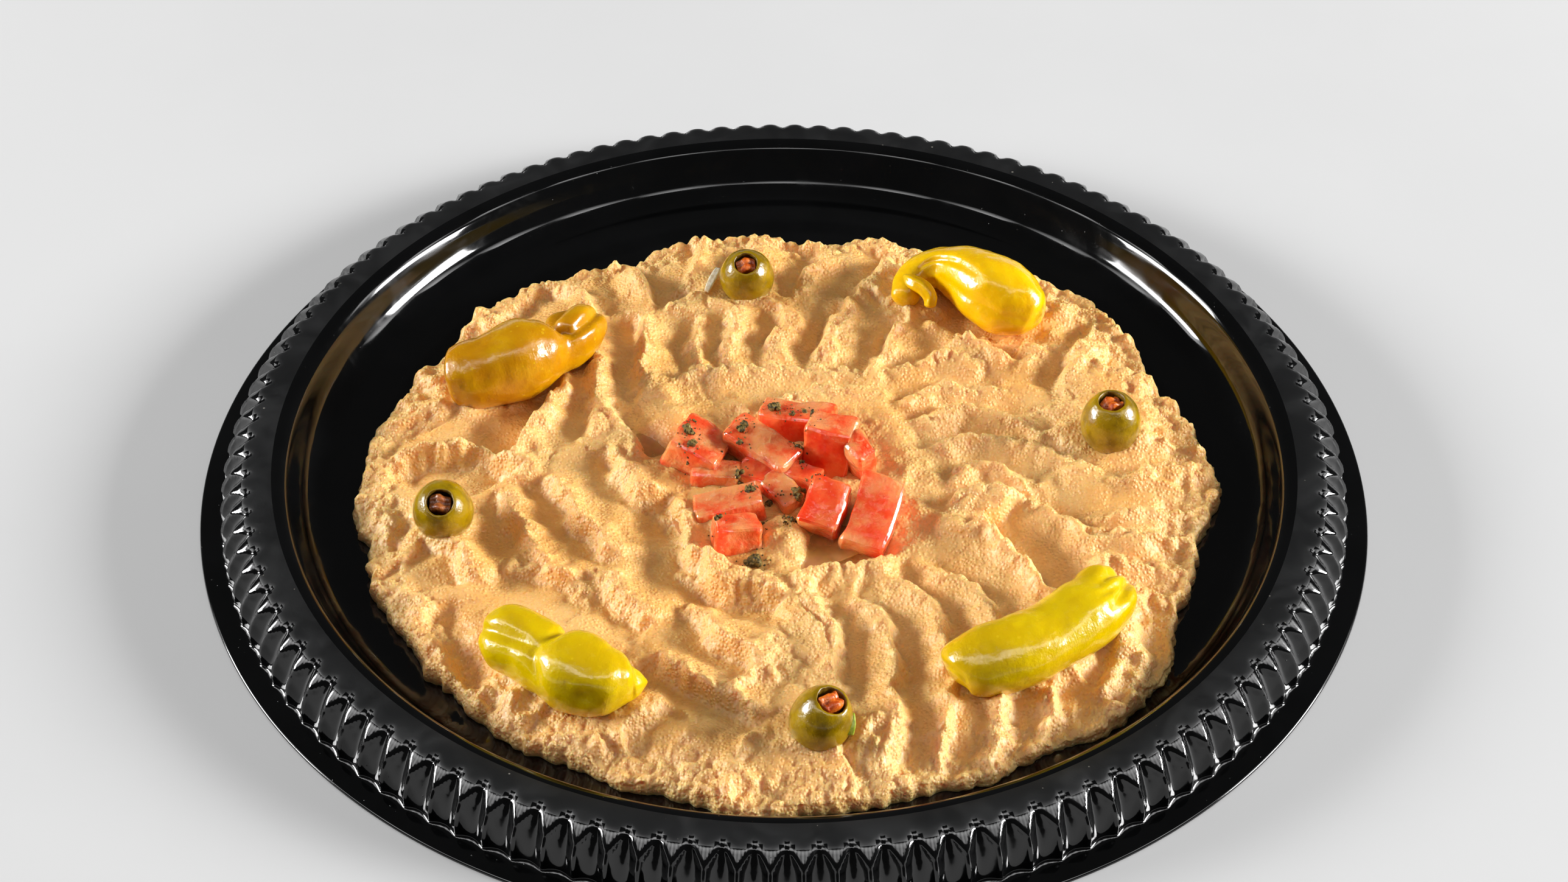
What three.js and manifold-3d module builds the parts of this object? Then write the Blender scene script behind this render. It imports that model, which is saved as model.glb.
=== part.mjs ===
// A catering tray of hummus: a round black tray with a scooped rim, a swirled disc of hummus on its
// floor, four pickled peppers, four stuffed olives and a heap of diced tomato with dried herbs.
// Millimetres, +Z up. The origin is the middle of the tray's underside.
import * as THREE from "three";
import { ConvexGeometry } from "three/addons/geometries/ConvexGeometry.js";
import { mergeVertices } from "three/addons/utils/BufferGeometryUtils.js";
import Module from "manifold-3d";

const wasm = await Module();
wasm.setup();

const GAP = 0.35; // clearance between pieces that touch
const TAU = 2 * Math.PI;

// ---- Driving dimensions of the tray -------------------------------------------------------------
const TRAY = {
  radius: 178, // half of a 14 inch tray
  floorTop: 1.4,
  floorStepInner: 123.6,
  floorStepOuter: 127.2,
  shelfTop: 2.8,
  shelfOuter: 138.6,
  landInner: 157,
  landOuter: 160.2,
  landTop: 17.3,
  flangeTop: 1.2,
  scoops: 120,
  scoopPhase: THREE.MathUtils.degToRad(6.49), // angle of the first scoop's centre
  sides: 60, // facets of the plain part
};
// Radius and height up the curved wall, from the shelf to the land.
const WALL_TOP = [
  [TRAY.shelfOuter, TRAY.shelfTop],
  [142.8, 3.7],
  [147.4, 8.1],
  [150.4, 14.3],
  [153.4, 16.8],
  [TRAY.landInner, TRAY.landTop],
];
// Radius and height down the outer wall, along a ridge and along the bottom of a scoop.
const RIDGE_LINE = [
  [164.4, 16.4],
  [168.4, 13.2],
  [171.2, 7.4],
  [171.4, 1.5],
];
const SCOOP_LINE = [
  [163.3, 15.6],
  [166.3, 10.8],
  [168.6, 5.8],
  [170.1, 1.5],
];
// Radius and height along the underside, from the rim's edge back to the floor.
const UNDERSIDE = [
  [TRAY.radius, 0],
  [169.6, 0],
  [162.6, 13.2],
  [160.6, 15.2],
  [155.6, 15.2],
  [150.8, 11.6],
  [147, 4],
  [139, 0],
];

// ---- Driving dimensions of the hummus -----------------------------------------------------------
const HUMMUS = {
  centre: [0, -12],
  radius: 124.6,
  top: 13.4, // level of the untouched surface above the table
  edgeTop: 8.6,
  edgeStart: 0.84, // share of the radius where the surface starts to fall to the edge
  footShare: 1.015, // the foot of the bank, compared with its top
  footTop: 4.4, // where the bank turns steep
  bottom: 0.6, // below the tray's floor, which trims it
  deepest: 8.5, // how far sweeps and hollows may cut in together
  spacing: 6.6, // distance between the surface's points
  tolerance: 0.2, // how far slivers may be evened out after the cuts
};
// Fine waves of the outline: height, number and phase.
const EDGE_WAVES = [
  [0.9, 11, 1],
  [0.8, 23, 2],
];
// Bulges of the outline: angle in degrees, half width in degrees, height.
const EDGE_BULGES = [
  [44, 15, 8],
  [4, 10, 4.5],
  [-25, 8, -1.5],
  [-42, 12, 8],
  [-88, 14, 2.6],
  [179, 12, 3.5],
  [143, 8, 1.5],
  [88, 10, -4.5],
  [18, 5, 1],
];
// Each sweep of the spoon leaves a steep crest with its trough on the left of the line from, via, to.
const SWEEPS = [
  {
    // short grooves behind the tomatoes
    width: 15,
    depth: 5,
    lines: [
      [-59, 0, -60, 24, -61, 48],
      [-45, 18, -46, 42, -48, 68],
      [-29, 32, -29, 50, -28, 68],
      [-20, 34, -19, 52, -16, 70],
      [-7, 36, -4, 52, 0, 68],
      [9, 36, 13, 53, 20, 72],
      [24, 34, 30, 48, 39, 62],
    ],
  },
  {
    // curved fan in front, to the right
    width: 17,
    depth: 5.4,
    lines: [
      [5, -62, 15, -76, 14, -104],
      [16, -62, 30, -76, 31, -104],
      [28, -56, 44, -68, 47, -100],
      [38, -50, 56, -60, 62, -84],
    ],
  },
  {
    // deep scoops
    width: 26,
    depth: 7.6,
    lines: [
      [58, -30, 66, -42, 79, -62],
      [-14, -66, -27, -46, -33, -18],
      [-56, 98, -49, 88, -40, 68],
      [45, 64, 58, 53, 74, 42],
      [-86, -6, -79, 10, -68, 38],
      [-78, -14, -96, -2, -122, -8],
    ],
  },
  {
    // arched terraces on the right
    width: 18,
    depth: 5.6,
    lines: [
      [38, 8, 60, 21, 87, 4],
      [43, -3, 64, 7, 101, -12],
      [48, -16, 62, -6, 78, -19],
      [46, -29, 67, -19, 97, -42],
      [-57, 20, -50, 12, -41, -7],
      [34, 20, 50, 30, 74, 28],
      [60, 60, 76, 52, 94, 50],
    ],
  },
  {
    // slanting ridges in front and to the left
    width: 19,
    depth: 5.4,
    lines: [
      [-44, -50, -60, -36, -70, -10],
      [-66, -52, -76, -42, -84, -18],
      [-52, -66, -66, -57, -86, -47],
      [-36, -76, -47, -66, -58, -50],
      [2, -64, -18, -61, -34, -51],
      [-6, -92, -19, -80, -28, -62],
      [-4, -112, -22, -102, -38, -86],
      [-104, -66, -98, -82, -86, -102],
      [-92, -60, -97, -46, -108, -38],
      [-30, -32, -44, -22, -54, 2],
      [-84, -76, -74, -86, -66, -104],
    ],
  },
  {
    // ridges behind, up to the edge
    width: 18,
    depth: 4.6,
    lines: [
      [-82, 84, -68, 80, -60, 62],
      [2, 72, 8, 88, 13, 106],
      [20, 70, 28, 86, 38, 100],
      [-34, 72, -32, 88, -26, 106],
      [86, 28, 90, 42, 98, 66],
      [98, 44, 104, 40, 118, 40],
      [-76, 84, -90, 68, -108, 52],
      [-104, 22, -112, 14, -124, 12],
      [-14, 72, -14, 88, -8, 106],
      [-50, 72, -52, 88, -46, 104],
      [-84, 20, -92, 30, -108, 34],
      [62, 66, 68, 78, 80, 84],
      [44, 40, 54, 50, 66, 54],
      [-8, 14, 6, 26, 28, 28],
    ],
  },
  {
    // ridges that run out over the front edge
    width: 15,
    depth: 4.8,
    lines: [
      [46, -100, 47, -112, 42, -128],
      [30, -96, 33, -112, 28, -130],
      [60, -100, 62, -110, 57, -124],
      [74, -98, 76, -106, 70, -118],
      [86, -100, 93, -92, 95, -80],
      [98, -70, 103, -84, 98, -108],
      [-30, -104, -38, -112, -44, -122],
    ],
  },
  {
    // narrow ledges at the right edge and round the right olive
    width: 12,
    depth: 4.2,
    lines: [
      [86, -38, 104, -37, 124, -35],
      [88, -47, 104, -48, 122, -48],
      [92, -56, 106, -58, 120, -58],
      [84, -28, 104, -26, 126, -24],
      [96, -14, 110, -8, 128, 0],
      [-40, 31, -5, 39, 30, 35],
      [89, 22, 86, 32, 90, 42],
      [66, 14, 80, 21, 92, 22],
      [91, -6, 86, 4, 82, 15],
      [72, 40, 80, 48, 86, 62],
      [-34, -34, -22, -49, 2, -58],
      [0, -57, 16, -49, 36, -46],
      [30, 34, 48, 44, 66, 40],
      [110, 12, 118, 6, 130, 6],
    ],
  },
];
// Smooth hollows: centre x, y, half lengths along x and y, turn in degrees, depth.
const HOLLOWS = [
  [-1, -16, 44, 38, 0, 3.6],
  [22, -40, 26, 15, 8, 3],
  [-16, -42, 15, 9, 0, 2],
  [-24, 22, 16, 8, -40, 2.5],
  [-42, 4, 12, 8, -30, 1],
  [-88, -40, 11, 10, 0, 2.6],
  [-90, -62, 22, 11, -10, 1.8],
  [-92, 5, 14, 11, 0, 2],
  [-12, -52, 14, 6, 0, 0.8],
  [-14, -66, 18, 8, -20, 2],
  [-36, 74, 10, 7, 20, 2],
  [1, -37, 7, 11, 20, -4],
  [-38, 13, 10, 9, 0, -3],
];
const STEEP_SIDE = [-2, 4.2]; // from where to where, left of a sweep, its steep side falls
const HOLLOW_SHAPE = 1.2; // how softly a hollow ends
const SWEEP_STEPS = 8; // straight parts of a sweep's curve
const SWEEP_ENDS = 0.14; // share of a sweep's length in which it fades out
const CALM = { from: [2, 5], to: [0, 4] }; // where a trough is smoothed, from its crest and its far side
const TORN = { at: -0.5, width: 3.2 }; // where a crest is torn
const CREST = { lift: 0.36, at: -1.8, outer: 4.5, inner: 2 }; // share of the depth, place and widths
// Faint ridges that run outwards where no sweep goes.
const ARMS = {
  count: 27,
  bend: { size: 34, octaves: 2, seed: 5, share: 0.9 },
  depth: 3,
  fromRadius: 46,
  fullRadius: 74,
  drop: 0.78, // share of an arm where its steep side starts
  centreY: -6,
};
const LUMPS = { size: 14, octaves: 2, seed: 9, height: 1.1, calmed: 0.5, peak: 1.8, level: 0.5 };
const SWELL = { size: 32, octaves: 1, seed: 3, height: 1.5 };
// Smooth noise: its strength, and how each finer octave is moved against the last.
const NOISE = { strength: 1.4, moveX: 17.3, moveY: -9.1, moveSeed: 31 };
// Factors that mix a cell's numbers into a fixed random number.
const MIX = { column: 374761393, row: 668265263, seed: 974711, last: 1274126177, low31: 0x7fffffff };

// ---- Driving dimensions of the toppings ---------------------------------------------------------
// Stations along each pepper: x, y, z of the middle and the radius there.
const PEPPER = { sides: 12, rings: 12, lobeShare: 0.03 }; // the lobes stand out by a share of the radius
const PEPPERS = [
  {
    name: "pepper_1",
    lobes: 3,
    stations: [
      [-104, 26.5, 17.4, 8.2],
      [-99.5, 26.5, 18.4, 10.6],
      [-92, 28, 19.4, 11.4],
      [-84, 31.5, 20.4, 12.4],
      [-77.5, 35, 20.2, 10.9],
      [-72, 39, 19.4, 8.6],
      [-68, 43.5, 19, 8.4],
      [-64.5, 49.5, 18.6, 7.9],
      [-62, 55.5, 17.4, 5],
    ],
  },
  {
    name: "pepper_2",
    lobes: 4,
    stations: [
      [81.5, 58, 17, 5.2],
      [75, 61.5, 18.8, 10.2],
      [67, 67.5, 20.2, 11.8],
      [58.5, 75.5, 20.4, 9.8],
      [50.5, 80.5, 19.4, 7],
      [44, 80, 18, 5.8],
      [39.5, 75, 16.6, 4.8],
      [38.5, 68, 14.6, 4.2],
    ],
  },
  {
    name: "pepper_3",
    lobes: 3,
    stations: [
      [47, -98, 15.5, 4.6],
      [50, -97, 17.2, 8],
      [57, -96, 18.4, 10.2],
      [66, -93, 19, 10.7],
      [73, -88, 19, 10.6],
      [81, -82, 19, 10.9],
      [88, -76, 18.4, 10.2],
      [93, -69, 17, 8.6],
      [97, -63, 15.4, 4.7],
    ],
  },
  {
    name: "pepper_4",
    lobes: 4,
    stations: [
      [-82, -84, 16, 5.6],
      [-78, -87, 17.6, 9.2],
      [-71, -92, 18.2, 9.6],
      [-65, -97, 18.4, 9.8],
      [-59, -101, 19.2, 11.4],
      [-52, -104, 18.8, 10.8],
      [-47, -104, 17.8, 8.7],
      [-43, -103, 16.2, 5.2],
      [-38, -101, 14.6, 1.6],
    ],
  },
];
const PEPPER_POLE = 0.1; // share of the end radius by which the ends bulge
// The stalk that curls back over the second pepper.
const STALK = {
  on: "pepper_2",
  sides: 8,
  rings: 5,
  stations: [
    [39, 75, 19, 2.2],
    [42, 71, 20, 2.4],
    [45.5, 68, 18.8, 2.2],
    [46, 65, 16.6, 1.9],
  ],
};

const OLIVE = { width: 17.6, height: 21, bore: 3.7, boreDepth: 15, sides: 16, steps: 6 };
// Middle, direction of the long axis and scale. The front one is slimmer, with a wider bore.
const OLIVES = [
  { middle: [-12.6, 79, 16.5], axis: [-0.03, -0.39, 0.92], grow: 1 },
  { middle: [99.9, 7.4, 17], axis: [-0.05, -0.09, 0.99], grow: 1.06 },
  { middle: [-100.9, -33.9, 17], axis: [0, -0.53, 0.85], grow: 1.03 },
  { middle: [10.5, -116.7, 16.4], axis: [0.3, -0.16, 0.94], grow: 1.03, width: 17, height: 22.4, bore: 4 },
].map((olive) => ({ ...OLIVE, ...olive }));
const OLIVE_LIP = 0.5; // width of the cut edge round the bore
const PIMENTO = { width: 5.4, thickness: 3.5, sunk: 1.4 };
// Plain, slightly larger shapes, for the hollows that peppers and olives leave in the hummus.
const PEPPER_IMPRINT = { sides: 10, grow: 3.5 * GAP };
const OLIVE_IMPRINT = { sides: 12, steps: 5, grow: 2 * GAP, raised: 0.2 };

// Diced tomato: middle, length, width and height, turn about Z, tilt about X and lean about Y in degrees.
const DICE_CORNER = 0.16; // share of each side taken off the corners
const TOMATOES = [
  { middle: [-6.6, -4.2, 15.2], size: [22, 10.7, 9.7], angles: [-39, 8, 8] },
  { middle: [-26.5, -3.4, 13.6], size: [15, 15.5, 11.5], angles: [-24, -6, 18] },
  { middle: [12.1, -29.4, 14.6], size: [11.2, 15, 10.2], angles: [-22, 24, 10] },
  { middle: [26.5, -31.6, 13.4], size: [12, 23, 10.2], angles: [-20, 24, 8] },
  { middle: [13.6, -3.6, 15.6], size: [13.6, 10.2, 18.5], angles: [-13, -8, 4] },
  { middle: [4, 11.2, 13.4], size: [22, 10.2, 9.2], angles: [-15, -8, -4] },
  { middle: [23, -7.4, 14.2], size: [9.2, 6.2, 16], angles: [-55, 10, 8] },
  { middle: [-16.4, -26.2, 11.8], size: [19.5, 10.7, 8.2], angles: [10, -4, -10] },
  { middle: [-14, -39.2, 12], size: [13, 9.2, 11], angles: [9, -8, 3] },
  { middle: [-20.4, -12.4, 11.4], size: [14, 7.6, 8.2], angles: [-8, 0, -4] },
  { middle: [-0.6, -19.5, 11.4], size: [13, 7.6, 7.8], angles: [-52, 10, 6] },
  { middle: [5.5, -14.4, 11.8], size: [11, 8.2, 8.2], angles: [-24, 0, 0] },
  { middle: [-8.4, -13.4, 11.2], size: [10.7, 8.2, 8.2], angles: [-20, 0, 0] },
];
// Herb clumps: the node that each is fused to, its place and radius. It lies on the node's top.
const HERBS = [
  { on: "tomato_2", at: [-29.2, -2.5], radius: 2.4 },
  { on: "tomato_2", at: [-28.1, -7.5], radius: 2 },
  { on: "tomato_1", at: [-13.1, -0.7], radius: 2.2 },
  { on: "tomato_1", at: [-13.4, -5.6], radius: 1.9 },
  { on: "tomato_6", at: [-3.2, 12.4], radius: 2.4 },
  { on: "tomato_6", at: [4.1, 9.2], radius: 1.6 },
  { on: "tomato_5", at: [8.6, -0.8], radius: 2.4 },
  { on: "tomato_8", at: [-10.4, -25.3], radius: 2 },
  { on: "tomato_3", at: [8.5, -23.4], radius: 2.2 },
  { on: "hummus", at: [-9, -48.1], radius: 3 },
  { on: "hummus", at: [2.4, -38.6], radius: 1.8 },
];
const PROBE = { width: 0.4, height: 80 }; // a thin column that finds a solid's top
const HERB_SHAPE = { across: 0.85, up: 0.8, raised: 0.3 }; // flattened, and raised by a share of the radius
// A white sliver of onion that lies against the rear olive, fused to the hummus.
const SLIVER = { from: [-25.6, 75, 12.5], to: [-23, 83, 14], width: 2.2, thickness: 1.2 };

// ---- Finishes -----------------------------------------------------------------------------------
const finish = (color, roughness) => new THREE.MeshStandardMaterial({ color, roughness, metalness: 0 });
const FINISHES = {
  tray: () => finish(0x1b1d1f, 0.28),
  hummus: () => finish(0xe6b877, 0.62),
  pepper: () => finish(0xd9b70c, 0.22),
  olive: () => finish(0x8c8a1c, 0.26),
  pimento: () => finish(0xa8400f, 0.32),
  tomato: () => finish(0xd8351a, 0.2),
};

// ---- Solids -------------------------------------------------------------------------------------
function solidOf(geometry) {
  const bare = geometry.clone();
  bare.deleteAttribute("normal");
  bare.deleteAttribute("uv");
  const merged = mergeVertices(bare, 1e-3);
  return new wasm.Manifold(
    new wasm.Mesh({
      numProp: 3,
      vertProperties: merged.attributes.position.array,
      triVerts: new Uint32Array(merged.index.array),
    }),
  );
}

function geometryOf(solid) {
  const mesh = solid.getMesh();
  return new THREE.BufferGeometry()
    .setAttribute("position", new THREE.BufferAttribute(mesh.vertProperties, 3))
    .setIndex(new THREE.BufferAttribute(mesh.triVerts, 1))
    .toNonIndexed();
}

// The largest of the bodies that a cut leaves.
function largestBody(solid) {
  const bodies = solid.decompose();
  return bodies.reduce((best, body) => (body.volume() > best.volume() ? body : best));
}

// The band of triangles between two closed rings, which may have different numbers of points.
function pushBand(faces, inner, outer) {
  let i = 0;
  let j = 0;
  while (i < inner.count || j < outer.count) {
    const innerIsBehind = i < inner.count && (i + 1) * outer.count <= (j + 1) * inner.count;
    const stepInner = j === outer.count || innerIsBehind;
    const a = inner.start + (i % inner.count);
    const b = outer.start + (j % outer.count);
    if (stepInner) {
      if (inner.count > 1) faces.push(a, b, inner.start + ((i + 1) % inner.count));
      i += 1;
    } else {
      if (outer.count > 1) faces.push(a, b, outer.start + ((j + 1) % outer.count));
      j += 1;
    }
  }
}

// A closed surface through rings of points from one pole to the other. Seen from outside, a ring runs
// counterclockwise round the first pole.
function ringGeometry(rings) {
  const faces = [];
  const bands = [];
  let start = 0;
  for (const ring of rings) {
    bands.push({ start, count: ring.length });
    start += ring.length;
  }
  for (let k = 0; k + 1 < bands.length; k += 1) pushBand(faces, bands[k], bands[k + 1]);
  return new THREE.BufferGeometry().setFromPoints(rings.flat()).setIndex(faces).toNonIndexed();
}

// A level ring round the Z axis.
function levelRing(radius, height, count, phase = 0) {
  return Array.from({ length: count }, (_, i) => {
    const angle = phase + (TAU * i) / count;
    return new THREE.Vector3(radius * Math.cos(angle), radius * Math.sin(angle), height);
  });
}

// ---- Tray ---------------------------------------------------------------------------------------
// A ring of the outer wall, with a point on each ridge and one in each scoop.
function scoopedRing(level) {
  const count = 2 * TRAY.scoops;
  return Array.from({ length: count }, (_, i) => {
    const angle = TRAY.scoopPhase + (TAU * i) / count;
    const [radius, height] = i % 2 ? RIDGE_LINE[level] : SCOOP_LINE[level];
    return new THREE.Vector3(radius * Math.cos(angle), radius * Math.sin(angle), height);
  });
}

function makeTray() {
  const plain = ([radius, height]) => levelRing(radius, height, TRAY.sides, TRAY.scoopPhase);
  const rings = [
    [new THREE.Vector3(0, 0, TRAY.floorTop)],
    plain([TRAY.floorStepInner, TRAY.floorTop]),
    plain([TRAY.floorStepOuter, TRAY.shelfTop]),
    ...WALL_TOP.map(plain),
    levelRing(TRAY.landOuter, TRAY.landTop, TRAY.scoops, TRAY.scoopPhase),
    ...RIDGE_LINE.map((_, level) => scoopedRing(level)),
    levelRing(TRAY.radius, TRAY.flangeTop, TRAY.scoops, TRAY.scoopPhase),
    levelRing(UNDERSIDE[0][0], UNDERSIDE[0][1], TRAY.scoops, TRAY.scoopPhase),
    ...UNDERSIDE.slice(1).map(plain),
    [new THREE.Vector3(0, 0, 0)],
  ];
  return solidOf(ringGeometry(rings));
}

// Everything below the tray's inner surface, raised by the gap. It trims the hummus.
function makeTrayImprint() {
  const profile = [
    [0, -GAP],
    [TRAY.radius, -GAP],
    [TRAY.radius, TRAY.landTop],
    ...WALL_TOP.slice().reverse(),
    [TRAY.floorStepOuter, TRAY.shelfTop],
    [TRAY.floorStepInner, TRAY.floorTop],
    [0, TRAY.floorTop],
  ].map(([radius, height]) => new THREE.Vector2(radius, height + GAP));
  const lathe = new THREE.LatheGeometry(profile, TRAY.sides);
  lathe.rotateX(Math.PI / 2);
  lathe.rotateZ(TRAY.scoopPhase);
  return solidOf(lathe);
}

// ---- Hummus -------------------------------------------------------------------------------------
const smooth = THREE.MathUtils.smoothstep;

// The distance along a sweep, 0 to 1, and the distance to the left of it.
function placeOnSweep(line, x, y) {
  const [x0, y0, xm, ym, x1, y1] = line;
  const xc = 2 * xm - (x0 + x1) / 2;
  const yc = 2 * ym - (y0 + y1) / 2;
  let best = { away: Infinity, along: 0, left: 0 };
  let px = x0;
  let py = y0;
  for (let k = 1; k <= SWEEP_STEPS; k += 1) {
    const t = k / SWEEP_STEPS;
    const qx = (1 - t) * (1 - t) * x0 + 2 * t * (1 - t) * xc + t * t * x1;
    const qy = (1 - t) * (1 - t) * y0 + 2 * t * (1 - t) * yc + t * t * y1;
    const dx = qx - px;
    const dy = qy - py;
    const length = Math.hypot(dx, dy);
    const share = THREE.MathUtils.clamp(((x - px) * dx + (y - py) * dy) / (length * length), 0, 1);
    const away = Math.hypot(x - px - share * dx, y - py - share * dy);
    if (away < best.away) {
      const left = (dx * (y - py) - dy * (x - px)) / length;
      best = { away, along: (k - 1 + share) / SWEEP_STEPS, left: Math.sign(left) * away };
    }
    px = qx;
    py = qy;
  }
  return best;
}

// A fixed random number from 0 to 1 for a cell of a grid.
function cellNumber(column, row, seed) {
  const sum = Math.imul(column, MIX.column) + Math.imul(row, MIX.row) + Math.imul(seed, MIX.seed);
  let mixed = sum & MIX.low31;
  mixed = Math.imul(mixed ^ (mixed >> 13), MIX.last) & MIX.low31;
  return ((mixed ^ (mixed >> 16)) & 0xffff) / 0xffff;
}

// Smooth noise of about -1 to 1 with lumps of a size, each octave half as wide and high as the last.
function ripple(x, y, { size, octaves, seed }) {
  let total = 0;
  let strength = NOISE.strength;
  for (let octave = 0; octave < octaves; octave += 1) {
    const u = (x / size) * 2 ** octave + NOISE.moveX * octave;
    const v = (y / size) * 2 ** octave + NOISE.moveY * octave;
    const column = Math.floor(u);
    const row = Math.floor(v);
    for (const dx of [0, 1]) {
      for (const dy of [0, 1]) {
        const turn = TAU * cellNumber(column + dx, row + dy, seed + NOISE.moveSeed * octave);
        const acrossX = u - column - dx;
        const acrossY = v - row - dy;
        const slope = Math.cos(turn) * acrossX + Math.sin(turn) * acrossY;
        const share = THREE.MathUtils.smootherstep(1 - Math.abs(acrossX), 0, 1);
        total += strength * slope * share * THREE.MathUtils.smootherstep(1 - Math.abs(acrossY), 0, 1);
      }
    }
    strength /= 2;
  }
  return total;
}

function edgeRadius(angle) {
  const degrees = THREE.MathUtils.radToDeg(angle);
  let radius = HUMMUS.radius;
  for (const [height, number, phase] of EDGE_WAVES) radius += height * Math.sin(number * angle + phase);
  for (const [at, half, height] of EDGE_BULGES) {
    const turn = THREE.MathUtils.euclideanModulo(degrees - at + 180, 360) - 180;
    radius += height * Math.exp(-((turn / half) ** 2));
  }
  return radius;
}

// Height of the faint ridges, of a sawtooth shape, that run outwards.
function armHeight(x, y, busy) {
  const turn = Math.atan2(y - ARMS.centreY, x) / TAU;
  const place = turn * ARMS.count + ARMS.bend.share * ripple(x, y, ARMS.bend);
  const arm = THREE.MathUtils.euclideanModulo(place, 1);
  const waves = (1 - busy) * smooth(Math.hypot(x, y - ARMS.centreY), ARMS.fromRadius, ARMS.fullRadius);
  return ARMS.depth * waves * (arm - 0.5 - smooth(arm, ARMS.drop, 1));
}

// Height of the hummus above the table. share is 0 in the middle of the disc and 1 at its edge.
function hummusHeight(x, y, share) {
  let trough = 0;
  let crest = 0;
  let calm = 0;
  let torn = 0;
  for (const { width, depth, lines } of SWEEPS) {
    for (const line of lines) {
      const { along, left, away } = placeOnSweep(line, x, y);
      if (away > width) continue;
      const fade = smooth(along, 0, SWEEP_ENDS) * smooth(1 - along, 0, SWEEP_ENDS);
      const inner = THREE.MathUtils.clamp(1 - left / width, 0, 1);
      trough = Math.max(trough, depth * fade * smooth(left, ...STEEP_SIDE) * inner);
      const flank = left < CREST.at ? CREST.outer : CREST.inner;
      crest = Math.max(crest, CREST.lift * depth * fade * Math.exp(-(((left - CREST.at) / flank) ** 2)));
      calm = Math.max(calm, fade * smooth(left, ...CALM.from) * smooth(width - left, ...CALM.to));
      torn = Math.max(torn, fade * Math.exp(-(((left - TORN.at) / TORN.width) ** 2)));
    }
  }
  let hollow = 0;
  for (const [cx, cy, rx, ry, turn, depth] of HOLLOWS) {
    const angle = THREE.MathUtils.degToRad(turn);
    const u = ((x - cx) * Math.cos(angle) + (y - cy) * Math.sin(angle)) / rx;
    const v = (-(x - cx) * Math.sin(angle) + (y - cy) * Math.cos(angle)) / ry;
    hollow += depth * Math.max(0, 1 - u * u - v * v) ** HOLLOW_SHAPE;
  }
  const lumpHeight = LUMPS.height - LUMPS.calmed * calm;
  const lumps = lumpHeight * (LUMPS.peak * Math.abs(ripple(x, y, LUMPS)) - LUMPS.level);
  const swell = SWELL.height * ripple(x, y, SWELL);
  const fall = (HUMMUS.top - HUMMUS.edgeTop) * smooth(share, HUMMUS.edgeStart, 1);
  const cut = Math.min(trough + hollow, HUMMUS.deepest);
  return HUMMUS.top - fall - cut + crest + armHeight(x, y, Math.min(calm + torn, 1)) + lumps + swell;
}

function makeHummus(cutters, additions, imprint) {
  const [cx, cy] = HUMMUS.centre;
  const count = Math.round(HUMMUS.radius / HUMMUS.spacing);
  const rings = [[new THREE.Vector3(cx, cy, hummusHeight(cx, cy, 0))]];
  const edgeRing = (share, height) => {
    const points = Math.max(6, Math.round((TAU * share * HUMMUS.radius) / HUMMUS.spacing));
    return Array.from({ length: points }, (_, i) => {
      const angle = (TAU * i) / points;
      const radius = share * edgeRadius(angle);
      const x = cx + radius * Math.cos(angle);
      const y = cy + radius * Math.sin(angle);
      return new THREE.Vector3(x, y, height ?? hummusHeight(x, y, share));
    });
  };
  for (let i = 1; i <= count; i += 1) rings.push(edgeRing(i / count));
  rings.push(edgeRing(HUMMUS.footShare, HUMMUS.footTop));
  rings.push(edgeRing(HUMMUS.footShare, HUMMUS.bottom));
  rings.push([new THREE.Vector3(cx, cy, HUMMUS.bottom)]);
  let solid = solidOf(ringGeometry(rings)).subtract(imprint);
  for (const addition of additions) solid = solid.add(addition);
  for (const cutter of cutters) solid = solid.subtract(cutter);
  return largestBody(solid.simplify(HUMMUS.tolerance));
}

// ---- Toppings -----------------------------------------------------------------------------------
// A tapering body round a curve through stations of x, y, z and radius.
function makeSpindle(stations, { rings: ringCount, sides, lobes = 1, lobeShare = 0, grow = 0 }) {
  const curve = new THREE.CatmullRomCurve3(stations.map(([x, y, z]) => new THREE.Vector3(x, y, z)));
  const sizes = new THREE.SplineCurve(stations.map(([, , , radius], i) => new THREE.Vector2(i, radius)));
  const up = new THREE.Vector3(0, 0, 1);
  const rings = [];
  for (let k = 0; k <= ringCount; k += 1) {
    const t = k / ringCount;
    const middle = curve.getPoint(t);
    const ahead = curve.getTangent(t);
    const side = new THREE.Vector3().crossVectors(ahead, up).normalize();
    const lift = new THREE.Vector3().crossVectors(side, ahead);
    const radius = sizes.getPoint(t).y;
    if (k === 0) rings.push([middle.clone().addScaledVector(ahead, -PEPPER_POLE * radius - grow)]);
    rings.push(
      Array.from({ length: sides }, (_, i) => {
        const angle = (TAU * i) / sides;
        const wide = radius * (1 + lobeShare * Math.cos(lobes * angle)) + grow;
        return middle
          .clone()
          .addScaledVector(side, wide * Math.cos(angle))
          .addScaledVector(lift, wide * Math.sin(angle));
      }),
    );
    if (k === ringCount) rings.push([middle.clone().addScaledVector(ahead, PEPPER_POLE * radius + grow)]);
  }
  return solidOf(ringGeometry(rings));
}

function makePepper({ name, lobes, stations }) {
  const body = makeSpindle(stations, { ...PEPPER, lobes });
  if (name !== STALK.on) return body;
  return body.add(makeSpindle(STALK.stations, STALK));
}

function makePepperImprint({ stations }) {
  return makeSpindle(stations, { rings: PEPPER.rings, ...PEPPER_IMPRINT });
}

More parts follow.
